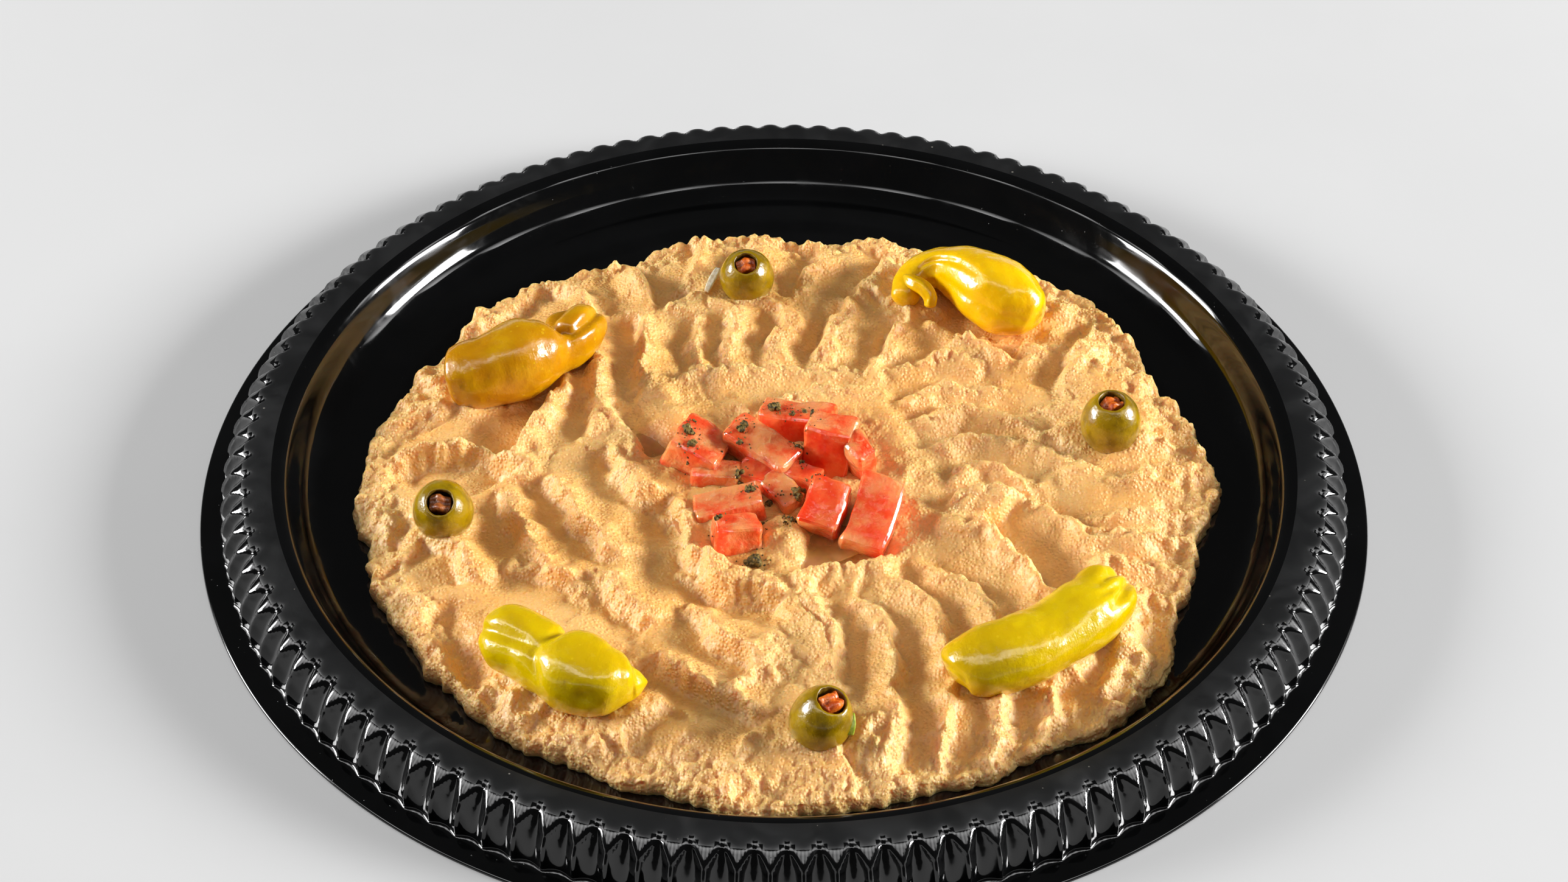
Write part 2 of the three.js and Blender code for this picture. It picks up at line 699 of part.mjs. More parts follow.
// Half widths of an olive at heights from its foot to the mouth of the bore.
function oliveProfile({ width, height, bore }, grow, steps) {
  const half = width / 2;
  const tall = height / 2;
  const points = [];
  const mouth = Math.acos((bore + OLIVE_LIP) / half);
  for (let k = 0; k <= steps; k += 1) {
    const angle = -Math.PI / 2 + ((Math.PI / 2 + mouth) * k) / steps;
    points.push([(half + grow) * Math.cos(angle), (tall + grow) * Math.sin(angle)]);
  }
  points[0][0] = 0;
  return points;
}

function turnOlive(outline, sides, { middle, axis, grow: scale }) {
  const profile = outline.map(([radius, height]) => new THREE.Vector2(radius, height));
  const lathe = new THREE.LatheGeometry(profile, sides);
  lathe.scale(scale, scale, scale);
  return solidOf(stood(lathe, middle, axis));
}

function makeOlive(olive) {
  const outside = oliveProfile(olive, 0, olive.steps);
  const rim = outside.at(-1)[1];
  outside.push([olive.bore, rim - GAP]);
  outside.push([olive.bore, rim - olive.boreDepth]);
  outside.push([0, rim - olive.boreDepth]);
  return turnOlive(outside, olive.sides, olive);
}

function makeOliveImprint(olive) {
  const outside = oliveProfile(olive, OLIVE_IMPRINT.grow, OLIVE_IMPRINT.steps);
  outside.push([0, outside.at(-1)[1] + OLIVE_IMPRINT.raised]);
  return turnOlive(outside, OLIVE_IMPRINT.sides, olive);
}

// A shape made along Y, stood along an axis and moved to its place.
function stood(geometry, middle, axis) {
  const along = new THREE.Vector3(...axis).normalize();
  geometry.applyQuaternion(new THREE.Quaternion().setFromUnitVectors(new THREE.Vector3(0, 1, 0), along));
  return geometry.translate(...middle);
}

// A block with its corners taken off.
function blockGeometry(size, corner) {
  const half = size.map((side) => side / 2);
  const points = [];
  for (const sx of [-1, 1]) {
    for (const sy of [-1, 1]) {
      for (const sz of [-1, 1]) {
        for (let axis = 0; axis < 3; axis += 1) {
          const point = [sx * half[0], sy * half[1], sz * half[2]];
          point[axis] *= 1 - 2 * corner;
          points.push(new THREE.Vector3(...point));
        }
      }
    }
  }
  return new ConvexGeometry(points);
}

function makePimento(olive) {
  const { middle, axis, grow: scale } = olive;
  const rim = oliveProfile(olive, 0, olive.steps).at(-1)[1];
  const bottom = rim - olive.boreDepth + GAP;
  const top = rim - PIMENTO.sunk;
  const block = blockGeometry([PIMENTO.width, top - bottom, PIMENTO.thickness], DICE_CORNER);
  block.translate(0, (top + bottom) / 2, 0);
  block.scale(scale, scale, scale);
  return solidOf(stood(block, middle, axis));
}

function makeDice({ middle, size, angles }, grow) {
  const block = blockGeometry(size.map((side) => side + 2 * grow), DICE_CORNER);
  const [turn, tilt, lean] = angles.map(THREE.MathUtils.degToRad);
  block.rotateY(lean).rotateX(tilt).rotateZ(turn).translate(...middle);
  return solidOf(block);
}

// Height of a solid's top at a place.
function topAt(solid, [x, y]) {
  const column = solidOf(new THREE.BoxGeometry(PROBE.width, PROBE.width, PROBE.height).translate(x, y, 0));
  return solid.intersect(column).boundingBox().max[2];
}

function makeHerb({ at, radius }, level, grow) {
  const clump = new THREE.IcosahedronGeometry(radius + grow, 0);
  clump.scale(1, HERB_SHAPE.across, HERB_SHAPE.up).rotateZ(at[0]);
  return solidOf(clump.translate(at[0], at[1], level + HERB_SHAPE.raised * radius));
}

function makeSliver() {
  const from = new THREE.Vector3(...SLIVER.from);
  const to = new THREE.Vector3(...SLIVER.to);
  const ahead = to.clone().sub(from);
  const block = blockGeometry([SLIVER.width, ahead.length(), SLIVER.thickness], DICE_CORNER);
  return solidOf(stood(block, from.add(to).multiplyScalar(0.5).toArray(), ahead.toArray()));
}

// ---- Assembly -----------------------------------------------------------------------------------
const group = new THREE.Group();

function place(name, solid, material) {
  const mesh = new THREE.Mesh(geometryOf(solid), material());
  mesh.name = name;
  group.add(mesh);
}

place("tray", makeTray(), FINISHES.tray);

PEPPERS.forEach((pepper) => place(pepper.name, makePepper(pepper), FINISHES.pepper));

OLIVES.forEach((olive, i) => {
  place(`olive_${i + 1}`, makeOlive(olive), FINISHES.olive);
  place(`pimento_${i + 1}`, makePimento(olive), FINISHES.pimento);
});

// Each dice gives way to the ones before it, and carries the herbs that lie on it.
const tomatoCutters = [];
TOMATOES.forEach((tomato, i) => {
  const name = `tomato_${i + 1}`;
  const dice = makeDice(tomato, 0);
  let solid = dice;
  let cutter = makeDice(tomato, GAP);
  HERBS.filter((herb) => herb.on === name).forEach((herb) => {
    const level = topAt(dice, herb.at);
    solid = solid.add(makeHerb(herb, level, 0));
    cutter = cutter.add(makeHerb(herb, level, GAP));
  });
  for (const earlier of tomatoCutters) solid = solid.subtract(earlier);
  tomatoCutters.push(cutter);
  place(name, largestBody(solid), FINISHES.tomato);
});

const cutters = [
  ...PEPPERS.map(makePepperImprint),
  ...OLIVES.map(makeOliveImprint),
  ...tomatoCutters,
];
const additions = HERBS.filter((herb) => herb.on === "hummus").map((herb) => {
  const [x, y] = herb.at;
  return makeHerb(herb, hummusHeight(x, y, Math.hypot(x, y - HUMMUS.centre[1]) / HUMMUS.radius), 0);
});
additions.push(makeSliver());
place("hummus", makeHummus(cutters, additions, makeTrayImprint()), FINISHES.hummus);

export default group;
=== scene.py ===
"""A round black catering tray of hummus with pickled peppers, stuffed olives and diced tomato.

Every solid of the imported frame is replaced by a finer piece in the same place. Shapes are built in
millimetres and scaled to metres when a piece is finished. +Z is up, -Y faces the viewer.
"""

import logging
import math
import random
from dataclasses import dataclass
from enum import Enum
from typing import Callable, Optional, Sequence

import bmesh
import bpy
import numpy as np
from mathutils import Matrix, Quaternion, Vector, noise
from mathutils.bvhtree import BVHTree

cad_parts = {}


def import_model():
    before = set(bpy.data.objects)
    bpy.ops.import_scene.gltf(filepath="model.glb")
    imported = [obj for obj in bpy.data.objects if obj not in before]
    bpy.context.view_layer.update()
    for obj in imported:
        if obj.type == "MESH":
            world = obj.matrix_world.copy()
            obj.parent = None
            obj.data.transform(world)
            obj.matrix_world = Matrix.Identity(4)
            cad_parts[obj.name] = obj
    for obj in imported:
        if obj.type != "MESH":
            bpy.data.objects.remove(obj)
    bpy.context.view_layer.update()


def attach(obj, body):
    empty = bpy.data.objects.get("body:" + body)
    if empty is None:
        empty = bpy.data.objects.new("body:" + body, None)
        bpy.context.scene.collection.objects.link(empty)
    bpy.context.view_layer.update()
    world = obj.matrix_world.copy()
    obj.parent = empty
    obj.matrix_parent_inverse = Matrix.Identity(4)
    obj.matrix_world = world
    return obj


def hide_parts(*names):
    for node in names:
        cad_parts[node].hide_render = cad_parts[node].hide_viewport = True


LOG = logging.getLogger("hummus_tray")
MM = 0.001
TAU = 2.0 * math.pi
BODY = "root"

Rgb = tuple[float, float, float]
Point = tuple[float, float, float]
Socket = bpy.types.NodeSocket


# ---- Small mathematics ---------------------------------------------------------------------------
def smooth_step(value: np.ndarray, low: float, high: float) -> np.ndarray:
    """A smooth ramp from 0 at low to 1 at high."""
    share = np.clip((value - low) / (high - low), 0.0, 1.0)
    return share * share * (3.0 - 2.0 * share)


def catmull(points: np.ndarray, share: float) -> np.ndarray:
    """A point on a smooth curve through evenly timed stations.

    Args:
        points: One row for each station.
        share: The place along the curve, from 0 to 1.

    Returns:
        The interpolated row.
    """
    spans = len(points) - 1
    place = min(max(share, 0.0), 1.0) * spans
    index = min(int(place), spans - 1)
    t = place - index
    p1, p2 = points[index], points[index + 1]
    p0 = points[index - 1] if index > 0 else 2 * p1 - p2
    p3 = points[index + 2] if index + 2 <= spans else 2 * p2 - p1
    return 0.5 * (
        2 * p1 + (p2 - p0) * t + (2 * p0 - 5 * p1 + 4 * p2 - p3) * t**2 + (3 * p1 - p0 - 3 * p2 + p3) * t**3
    )


def wobble(point: Sequence[float], size: float, octaves: int, shift: float) -> float:
    """Fractal noise of about -1 to 1 with lumps about size wide, where shift makes pieces differ."""
    place = Vector((point[0] + shift, point[1] - 2.3 * shift, point[2] + 0.7 * shift)) / size
    return noise.fractal(place, 1.0, 2.0, octaves, noise_basis="PERLIN_ORIGINAL")


def lattice(column: np.ndarray, row: np.ndarray, seed: int) -> np.ndarray:
    """A fixed random number from 0 to 1 for each cell of a grid.

    Args:
        column: The cells' columns.
        row: The cells' rows.
        seed: Picks the pattern.

    Returns:
        The numbers, always the same for a cell and a seed.
    """
    mixed = (column * 374761393 + row * 668265263 + seed * 974711) & 0x7FFFFFFF
    mixed = ((mixed ^ (mixed >> 13)) * 1274126177) & 0x7FFFFFFF
    return ((mixed ^ (mixed >> 16)) & 0xFFFF) / 65535.0


def ripple(x: np.ndarray, y: np.ndarray, size: float, octaves: int, seed: int) -> np.ndarray:
    """Fractal gradient noise over a whole field of places.

    Args:
        x: Places along X in millimetres.
        y: Places along Y.
        size: The width of the largest lumps in millimetres.
        octaves: How many finer layers are added.
        seed: Picks the pattern.

    Returns:
        Numbers of about -1 to 1.
    """
    total = np.zeros(np.shape(x))
    strength = 1.4
    for octave in range(octaves):
        u, v = x / size + 17.3 * octave, y / size - 9.1 * octave
        column, row = np.floor(u).astype(np.int64), np.floor(v).astype(np.int64)
        across, up = u - column, v - row
        weight_x = across * across * across * (across * (across * 6 - 15) + 10)
        weight_y = up * up * up * (up * (up * 6 - 15) + 10)
        for dx in (0, 1):
            for dy in (0, 1):
                turn = TAU * lattice(column + dx, row + dy, seed + 31 * octave)
                slope = np.cos(turn) * (across - dx) + np.sin(turn) * (up - dy)
                share = (weight_x if dx else 1 - weight_x) * (weight_y if dy else 1 - weight_y)
                total += strength * slope * share
        size *= 0.5
        strength *= 0.5
    return total


def pebbles(x: np.ndarray, y: np.ndarray, size: float, seed: int) -> np.ndarray:
    """Distance to the nearest of scattered points, in cells of a size, over a field of places.

    Args:
        x: Places along X in millimetres.
        y: Places along Y.
        size: The width of a cell in millimetres, with one point in each.
        seed: Picks the pattern.

    Returns:
        The distances, of 0 to about 1.
    """
    u, v = x / size, y / size
    column, row = np.floor(u).astype(np.int64), np.floor(v).astype(np.int64)
    nearest = np.full(np.shape(x), 9.0)
    for dx in (-1, 0, 1):
        for dy in (-1, 0, 1):
            at_x = column + dx + lattice(column + dx, row + dy, seed)
            at_y = row + dy + lattice(column + dx, row + dy, seed + 7)
            nearest = np.minimum(nearest, np.hypot(u - at_x, v - at_y))
    return nearest


# ---- Making and finishing a piece ----------------------------------------------------------------
def spin_outline(outline: Sequence[tuple[float, float]], steps: int) -> bmesh.types.BMesh:
    """Turns an outline once round the Z axis.

    Args:
        outline: Radius and height of each point, from the axis back to the axis.
        steps: How many columns of faces go round.

    Returns:
        The closed mesh, with its seam and poles merged.
    """
    bm = bmesh.new()
    verts = [bm.verts.new((radius, 0.0, height)) for radius, height in outline]
    edges = [bm.edges.new(pair) for pair in zip(verts, verts[1:])]
    middle, upright = (0.0, 0.0, 0.0), (0.0, 0.0, 1.0)
    bmesh.ops.spin(bm, geom=verts + edges, cent=middle, axis=upright, angle=TAU, steps=steps, use_merge=True)
    bmesh.ops.remove_doubles(bm, verts=bm.verts, dist=1e-4)
    return bm


def rounded_block(
    size: Sequence[float], rounding: float, segments: int, cuts: int, profile: float = 0.5
) -> bmesh.types.BMesh:
    """A block round the origin, with rounded edges.

    Args:
        size: The lengths of its sides.
        rounding: The width of the rounding.
        segments: Faces across the rounding.
        cuts: How often each edge is cut for finer faces.
        profile: The shape of the rounding, 0.5 for an arc.

    Returns:
        The block's mesh.
    """
    bm = bmesh.new()
    bmesh.ops.create_cube(bm, size=1.0)
    bmesh.ops.scale(bm, vec=size, verts=bm.verts)
    shape = {"segments": segments, "profile": profile, "affect": "EDGES", "material": -1}
    bmesh.ops.bevel(bm, geom=bm.edges[:], offset=rounding, **shape)
    bmesh.ops.subdivide_edges(bm, edges=bm.edges[:], cuts=cuts, use_grid_fill=True)
    return bm


def finish_piece(
    name: str, bm: bmesh.types.BMesh, finishes: Sequence[bpy.types.Material], flat: bool = False
) -> bpy.types.Object:
    """Makes an object of a bmesh that was built in millimetres.

    Args:
        name: The piece's name.
        bm: The mesh, which is freed.
        finishes: The materials, in the order of the faces' material indices.
        flat: Whether the faces stay flat shaded.

    Returns:
        The linked object, at the origin.
    """
    bmesh.ops.scale(bm, vec=(MM, MM, MM), verts=bm.verts)
    for face in bm.faces:
        face.smooth = not flat
    mesh = bpy.data.meshes.new(name)
    bm.to_mesh(mesh)
    bm.free()
    for material in finishes:
        mesh.materials.append(material)
    piece = bpy.data.objects.new(name, mesh)
    bpy.context.scene.collection.objects.link(piece)
    return piece


def carry(piece: bpy.types.Object, name: str, values: Sequence[float]) -> None:
    """Gives each point of a piece a number for its material, and 0 to the points past the last one.

    Args:
        piece: The finished piece.
        name: The name that the material reads.
        values: The first points' numbers.
    """
    numbers = np.zeros(len(piece.data.vertices), np.float32)
    numbers[: len(values)] = values
    piece.data.attributes.new(name, "FLOAT", "POINT").data.foreach_set("value", numbers)


def register(piece: bpy.types.Object, slot: str, *replaced: str) -> None:
    """Lets a piece ride on the tray and hides the solids that it stands for.

    Args:
        piece: The finished piece.
        slot: Not used.
        replaced: The solids that the piece replaces.
    """
    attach(piece, BODY)
    if replaced:
        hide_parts(*replaced)
    top = max(vert.co.z for vert in piece.data.vertices) / MM
    LOG.info("%s: %d faces, top at %.1f mm", piece.name, len(piece.data.polygons), top)


# ---- Materials -----------------------------------------------------------------------------------
class NodeSheet:
    """The node tree of one material or node group, with short calls to fill it."""

    def __init__(self, tree: bpy.types.NodeTree) -> None:
        """Keeps the tree to fill."""
        self.tree = tree

    def add(self, kind: str, inputs: Optional[dict] = None, **settings: object) -> bpy.types.Node:
        """Adds a node.

        Args:
            kind: The node's type name.
            inputs: Values or sockets by input name or number.
            settings: Attributes of the node.

        Returns:
            The new node.
        """
        node = self.tree.nodes.new(kind)
        for key, value in settings.items():
            setattr(node, key, value)
        for key, value in (inputs or {}).items():
            self.feed(node, key, value)
        return node

    def feed(self, node: bpy.types.Node, key: object, value: object) -> None:
        """Links a socket to an input, or sets the input's value.

        Args:
            node: The node that is fed.
            key: The input's name or number.
            value: A socket, a number or a colour.
        """
        if isinstance(value, bpy.types.NodeSocket):
            self.tree.links.new(value, node.inputs[key])
        elif isinstance(value, tuple) and len(value) == 3 and node.inputs[key].type == "RGBA":
            node.inputs[key].default_value = (*value, 1.0)
        else:
            node.inputs[key].default_value = value

    def coordinates(self) -> Socket:
        """The place on the piece, in metres."""
        return self.add("ShaderNodeTexCoord").outputs["Object"]

    def noise(self, size: float, detail: float = 4.0, rough: float = 0.5, bend: float = 0.0) -> Socket:
        """Noise whose lumps are about size metres wide.

        Args:
            size: The lumps' width in metres.
            detail: How many finer layers are added.
            rough: How strong each finer layer is.
            bend: How far the pattern is distorted.

        Returns:
            Numbers from 0 to 1.
        """
        values = {"Vector": self.coordinates(), "Scale": 1.0 / size, "Detail": detail}
        values.update({"Roughness": rough, "Distortion": bend})
        return self.add("ShaderNodeTexNoise", values).outputs[0]

    def cells(self, size: float) -> Socket:
        """Distance to the nearest of points that lie about size metres apart."""
        values = {"Vector": self.coordinates(), "Scale": 1.0 / size}
        return self.add("ShaderNodeTexVoronoi", values).outputs["Distance"]

    def remap(self, value: Socket, low: float, high: float, to_low: float, to_high: float) -> Socket:
        """Maps a range of numbers smoothly on another."""
        values = {"Value": value, "From Min": low, "From Max": high, "To Min": to_low, "To Max": to_high}
        return self.add("ShaderNodeMapRange", values, interpolation_type="SMOOTHSTEP").outputs[0]

    def blend(self, share: object, first: object, second: object) -> Socket:
        """Mixes two colours by a share from 0 to 1."""
        return self.add("ShaderNodeMix", {0: share, 6: first, 7: second}, data_type="RGBA").outputs[2]

    def sum(self, first: object, second: object) -> Socket:
        """Adds two numbers."""
        return self.add("ShaderNodeMath", {0: first, 1: second}, operation="ADD").outputs[0]

    def less(self, first: object, second: object) -> Socket:
        """Takes the second number from the first."""
        return self.add("ShaderNodeMath", {0: first, 1: second}, operation="SUBTRACT").outputs[0]

    def times(self, first: object, second: object) -> Socket:
        """Multiplies two numbers."""
        return self.add("ShaderNodeMath", {0: first, 1: second}, operation="MULTIPLY").outputs[0]

    def attribute(self, name: str) -> Socket:
        """A number that the mesh carries."""
        return self.add("ShaderNodeAttribute", attribute_name=name).outputs["Fac"]


class SharedEffects:
    """Node groups that more than one finish uses."""

    def __init__(self) -> None:
        """Builds the groups once."""
        self.mottle = self._build_mottle()
        self.speckle = self._build_speckle()
        self.skin = self._build_skin()

    @staticmethod
    def _group(name: str, inputs: dict, output: str) -> tuple[NodeSheet, object, bpy.types.Node]:
        """Makes an empty group.

        Args:
            name: The group's name.
            inputs: First values by input name, where four numbers are a colour.
            output: The output's name, a colour where that is Colour.

        Returns:
            The group's sheet, its input sockets and its output node.
        """
        tree = bpy.data.node_groups.new(name, "ShaderNodeTree")
        for socket, value in inputs.items():
            kind = "NodeSocketColor" if isinstance(value, tuple) else "NodeSocketFloat"
            tree.interface.new_socket(name=socket, in_out="INPUT", socket_type=kind).default_value = value
        kind = "NodeSocketColor" if output == "Colour" else "NodeSocketFloat"
        tree.interface.new_socket(name=output, in_out="OUTPUT", socket_type=kind)
        sheet = NodeSheet(tree)
        return sheet, sheet.add("NodeGroupInput").outputs, sheet.add("NodeGroupOutput")

    def _build_mottle(self) -> bpy.types.NodeTree:
        """Two colours in soft patches, broken up by finer ones.

        Returns:
            The node group.
        """
        grey = (0.5, 0.5, 0.5, 1.0)
        sheet, given, made = self._group("soft_mottle", {"Scale": 100.0, "Low": grey, "High": grey}, "Colour")
        values = {"Vector": sheet.coordinates(), "Scale": given["Scale"], "Detail": 5.0, "Roughness": 0.6}
        patches = sheet.add("ShaderNodeTexNoise", values).outputs[0]
        mask = sheet.remap(patches, 0.38, 0.62, 0.0, 1.0)
        sheet.feed(made, "Colour", sheet.blend(mask, given["Low"], given["High"]))
        return sheet.tree

    def _build_speckle(self) -> bpy.types.NodeTree:
        """Small round specks, each a little different in size.

        Returns:
            The node group.
        """
        sheet, given, made = self._group("small_specks", {"Scale": 400.0, "Size": 0.2}, "Mask")
        values = {"Vector": sheet.coordinates(), "Scale": given["Scale"]}
        cells = sheet.add("ShaderNodeTexVoronoi", values)
        chance = sheet.add("ShaderNodeSeparateColor", {0: cells.outputs["Color"]}).outputs[0]
        few_large = sheet.add("ShaderNodeMath", {0: chance, 1: 3.0}, operation="POWER").outputs[0]
        inside = sheet.less(sheet.times(few_large, given["Size"]), cells.outputs["Distance"])
        sheet.feed(made, "Mask", sheet.remap(inside, 0.0, 0.05, 0.0, 1.0))
        return sheet.tree

    def _build_skin(self) -> bpy.types.NodeTree:
        """Height of the fine puckers of a waxy skin.

        Returns:
            The node group.
        """
        sheet, given, made = self._group("fine_pucker", {"Scale": 300.0, "Fine": 0.3}, "Height")
        wide = {"Vector": sheet.coordinates(), "Scale": given["Scale"], "Detail": 3.0}
        close = {**wide, "Scale": sheet.times(given["Scale"], 4.5)}
        broad, fine = (sheet.add("ShaderNodeTexNoise", values).outputs[0] for values in (wide, close))
        sheet.feed(made, "Height", sheet.sum(broad, sheet.times(fine, given["Fine"])))
        return sheet.tree


@dataclass(frozen=True)
class Finish:
    """The constant values of one shader."""

    name: str
    roughness: float = 0.4
    subsurface: float = 0.0
    subsurface_radius: Point = (1.0, 0.4, 0.2)
    subsurface_scale: float = 0.003
    coat: float = 0.0
    coat_roughness: float = 0.05
    ior: float = 1.45
    specular: float = 0.5

    def sockets(self) -> dict[str, object]:
        """The values by the names of the shader's sockets.

        Returns:
            Each socket's name with its value.
        """
        return {
            "Roughness": self.roughness,
            "Subsurface Weight": self.subsurface,
            "Subsurface Radius": self.subsurface_radius,
            "Subsurface Scale": self.subsurface_scale,
            "Coat Weight": self.coat,
            "Coat Roughness": self.coat_roughness,
            "IOR": self.ior,
            "Specular IOR Level": self.specular,
        }


class Paint(NodeSheet):
    """The node sheet of one material, with short calls for the shared effects."""

    def __init__(self, effects: SharedEffects, finish: Finish) -> None:
        """Starts the material with the finish's constant values.

        Args:
            effects: The shared node groups.
            finish: The constant values.
        """
        self.effects = effects
        self.material = bpy.data.materials.new(finish.name)
        self.material.use_nodes = True
        super().__init__(self.material.node_tree)
        self.shader = self.tree.nodes["Principled BSDF"]
        for key, value in finish.sockets().items():
            self.feed(self.shader, key, value)

    def mottle(self, scale: float, low: Rgb, high: Rgb) -> Socket:
        """Two colours in soft patches, with about scale patches for each metre."""
        return self._effect(self.effects.mottle, {"Scale": scale, "Low": low, "High": high})

    def specks(self, scale: float, size: float) -> Socket:
        """1 on small round specks and 0 between them."""
        return self._effect(self.effects.speckle, {"Scale": scale, "Size": size})

    def pucker(self, scale: float, fine: float) -> Socket:
        """Height of a waxy skin's puckers, with a share of finer ones."""
        return self._effect(self.effects.skin, {"Scale": scale, "Fine": fine})

    def _effect(self, group: bpy.types.NodeTree, values: dict[str, object]) -> Socket:
        """Places a shared effect with its own values."""
        return self.add("ShaderNodeGroup", values, node_tree=group).outputs[0]

    def done(
        self,
        colour: Socket,
        roughness: Optional[Socket] = None,
        height: Optional[Socket] = None,
        depth: float = 0.0,
    ) -> bpy.types.Material:
        """Feeds the shader.

        Args:
            colour: The base colour.
            roughness: The roughness, where it isn't the same all over.
            height: The height of the relief.
            depth: How many metres a height of 1 stands for.

        Returns:
            The finished material.
        """
        self.feed(self.shader, "Base Color", colour)
        if roughness is not None:
            self.feed(self.shader, "Roughness", roughness)
        if height is not None:
            bump = self.add("ShaderNodeBump", {"Height": height, "Distance": depth, "Strength": 1.0})
            self.feed(self.shader, "Normal", bump.outputs[0])
        return self.material


class Finishes:
    """Every material of the platter."""

    def __init__(self) -> None:
        """Builds the materials from the shared effects."""
        self.effects = SharedEffects()
        self.tray_gloss = self._tray_gloss()
        self.tray_satin = self._tray_satin()
        self.hummus = self._hummus()
        self.pepper_amber = self._pepper("pepper_amber", (0.53, 0.23, 0.0), (0.64, 0.33, 0.0))
        self.pepper_yellow = self._pepper("pepper_yellow", (0.84, 0.47, 0.0), (0.92, 0.56, 0.0))
        self.pepper_lemon = self._pepper("pepper_lemon", (0.65, 0.42, 0.0), (0.73, 0.51, 0.0))
        self.olive_skin = self._olive_skin()
        self.olive_flesh = self._olive_flesh()
        self.pimento = self._pimento("pimento_orange", (0.52, 0.07, 0.004), (0.78, 0.18, 0.015))
        self.pimento_dark = self._pimento("pimento_dark", (0.26, 0.06, 0.01), (0.46, 0.14, 0.03))
        self.tomato_cut = self._tomato_cut()
        self.tomato_skin = self._tomato_skin()
        self.herb = self._herb()
        self.juice = self._juice()
        self.onion = self._vegetable("onion_white", (0.72, 0.6, 0.4), (0.86, 0.8, 0.66))
        self.greens = self._vegetable("green_bits", (0.2, 0.33, 0.01), (0.48, 0.55, 0.06))
        self.table = self._table()

    def _tray_gloss(self) -> bpy.types.Material:
        """Black polystyrene with faint smears.

        Returns:
            The material.
        """
        paint = Paint(self.effects, Finish("tray_gloss", 0.1, ior=1.55))
        colour = paint.mottle(35.0, (0.0012, 0.0013, 0.0014), (0.002, 0.0021, 0.0023))
        smear = paint.remap(paint.noise(0.03, 3.0, 0.6, 1.5), 0.4, 0.75, 0.06, 0.16)
        return paint.done(colour, smear, paint.specks(420.0, 0.12), 0.00006)

    def _tray_satin(self) -> bpy.types.Material:
        """The matt land of the rim, with dust specks and finger smears.

        Returns:
            The material.
        """
        paint = Paint(self.effects, Finish("tray_satin", 0.42, ior=1.8))
        black = paint.mottle(45.0, (0.002, 0.0022, 0.0024), (0.004, 0.0042, 0.0046))
        colour = paint.blend(paint.specks(300.0, 0.13), black, (0.16, 0.15, 0.13))
        smear = paint.remap(paint.noise(0.02, 3.0, 0.6, 1.0), 0.35, 0.7, 0.36, 0.48)
        return paint.done(colour, smear, paint.pucker(900.0, 0.5), 0.00004)

    def _hummus(self) -> bpy.types.Material:
        """Moist chickpea paste: grains, oil sheen, orange specks and darker, wetter troughs.

        Returns:
            The material.
        """
        finish = Finish("hummus_paste", 0.5, 0.6, (1.0, 0.5, 0.18), 0.0036, coat=0.12, coat_roughness=0.28)
        paint = Paint(self.effects, finish)
        crumb, wet = paint.attribute("crumb"), paint.attribute("wet")
        patches = paint.mottle(38.0, (0.86, 0.44, 0.115), (0.93, 0.55, 0.19))
        grains = paint.mottle(900.0, (0.78, 0.36, 0.08), (0.97, 0.66, 0.3))
        colour = paint.blend(0.14, patches, grains)
        # Crumbly crests and the bank are painted paler: partly the drier crumb's own colour, partly painted
        # light on the crests.
        colour = paint.blend(paint.remap(crumb, 0.2, 0.9, 0.0, 0.4), colour, (0.97, 0.6, 0.24))
        colour = paint.blend(paint.times(wet, 0.65), colour, (0.58, 0.34, 0.1))
        colour = paint.blend(paint.times(paint.specks(330.0, 0.14), 0.42), colour, (0.76, 0.22, 0.03))
        dry = paint.remap(paint.noise(0.0016, 2.0), 0.3, 0.7, 0.38, 0.58)
        roughness = paint.less(dry, paint.times(wet, 0.3))
        fine = paint.remap(paint.cells(0.0011), 0.0, 0.7, 1.0, 0.0)
        mixed = paint.sum(fine, paint.noise(0.0022, 5.0, 0.62))
        depth = paint.sum(paint.times(crumb, 0.4), 0.65)
        calm = paint.less(1.0, paint.times(wet, 0.6))
        return paint.done(colour, roughness, paint.times(paint.times(mixed, depth), calm), 0.00036)

    def _pepper(self, name: str, low: Rgb, high: Rgb) -> bpy.types.Material:
        """Waxy pickled skin with brown scars where the mesh says so.

        Args:
            name: The material's name.
            low: The colour of one kind of patch.
            high: The colour of the other kind.

        Returns:
            The material.
        """
        finish = Finish(name, 0.2, 0.4, (1.0, 0.75, 0.03), 0.004, coat=0.45, coat_roughness=0.05)
        paint = Paint(self.effects, finish)
        skin = paint.mottle(60.0, low, high)
        colour = paint.blend(paint.times(paint.specks(520.0, 0.3), 0.3), skin, (0.9, 0.66, 0.02))
        colour = paint.blend(paint.attribute("scar"), colour, (0.24, 0.1, 0.008))
        ragged = paint.remap(paint.noise(0.003, 4.0, 0.6), 0.35, 0.7, 0.14, 0.3)
        values = {"W": paint.attribute("along"), "Scale": 2.2, "Detail": 3.0}
        rings = paint.add("ShaderNodeTexNoise", values, noise_dimensions="1D").outputs[0]
        height = paint.sum(paint.pucker(300.0, 0.3), paint.times(rings, 0.1))
        return paint.done(colour, ragged, height, 0.00028)

    def _olive_skin(self) -> bpy.types.Material:
        """Olive green skin with fine pale dots.

        Returns:
            The material.
        """
        finish = Finish("olive_skin", 0.2, 0.2, (1.0, 0.7, 0.1), 0.003, coat=0.5, coat_roughness=0.06)
        paint = Paint(self.effects, finish)
        green = paint.mottle(170.0, (0.22, 0.13, 0.0), (0.35, 0.22, 0.0))
        colour = paint.blend(paint.times(paint.specks(1100.0, 0.35), 0.35), green, (0.42, 0.32, 0.02))
        ragged = paint.remap(paint.noise(0.003, 3.0), 0.35, 0.7, 0.14, 0.28)
        return paint.done(colour, ragged, paint.pucker(420.0, 0.4), 0.00022)

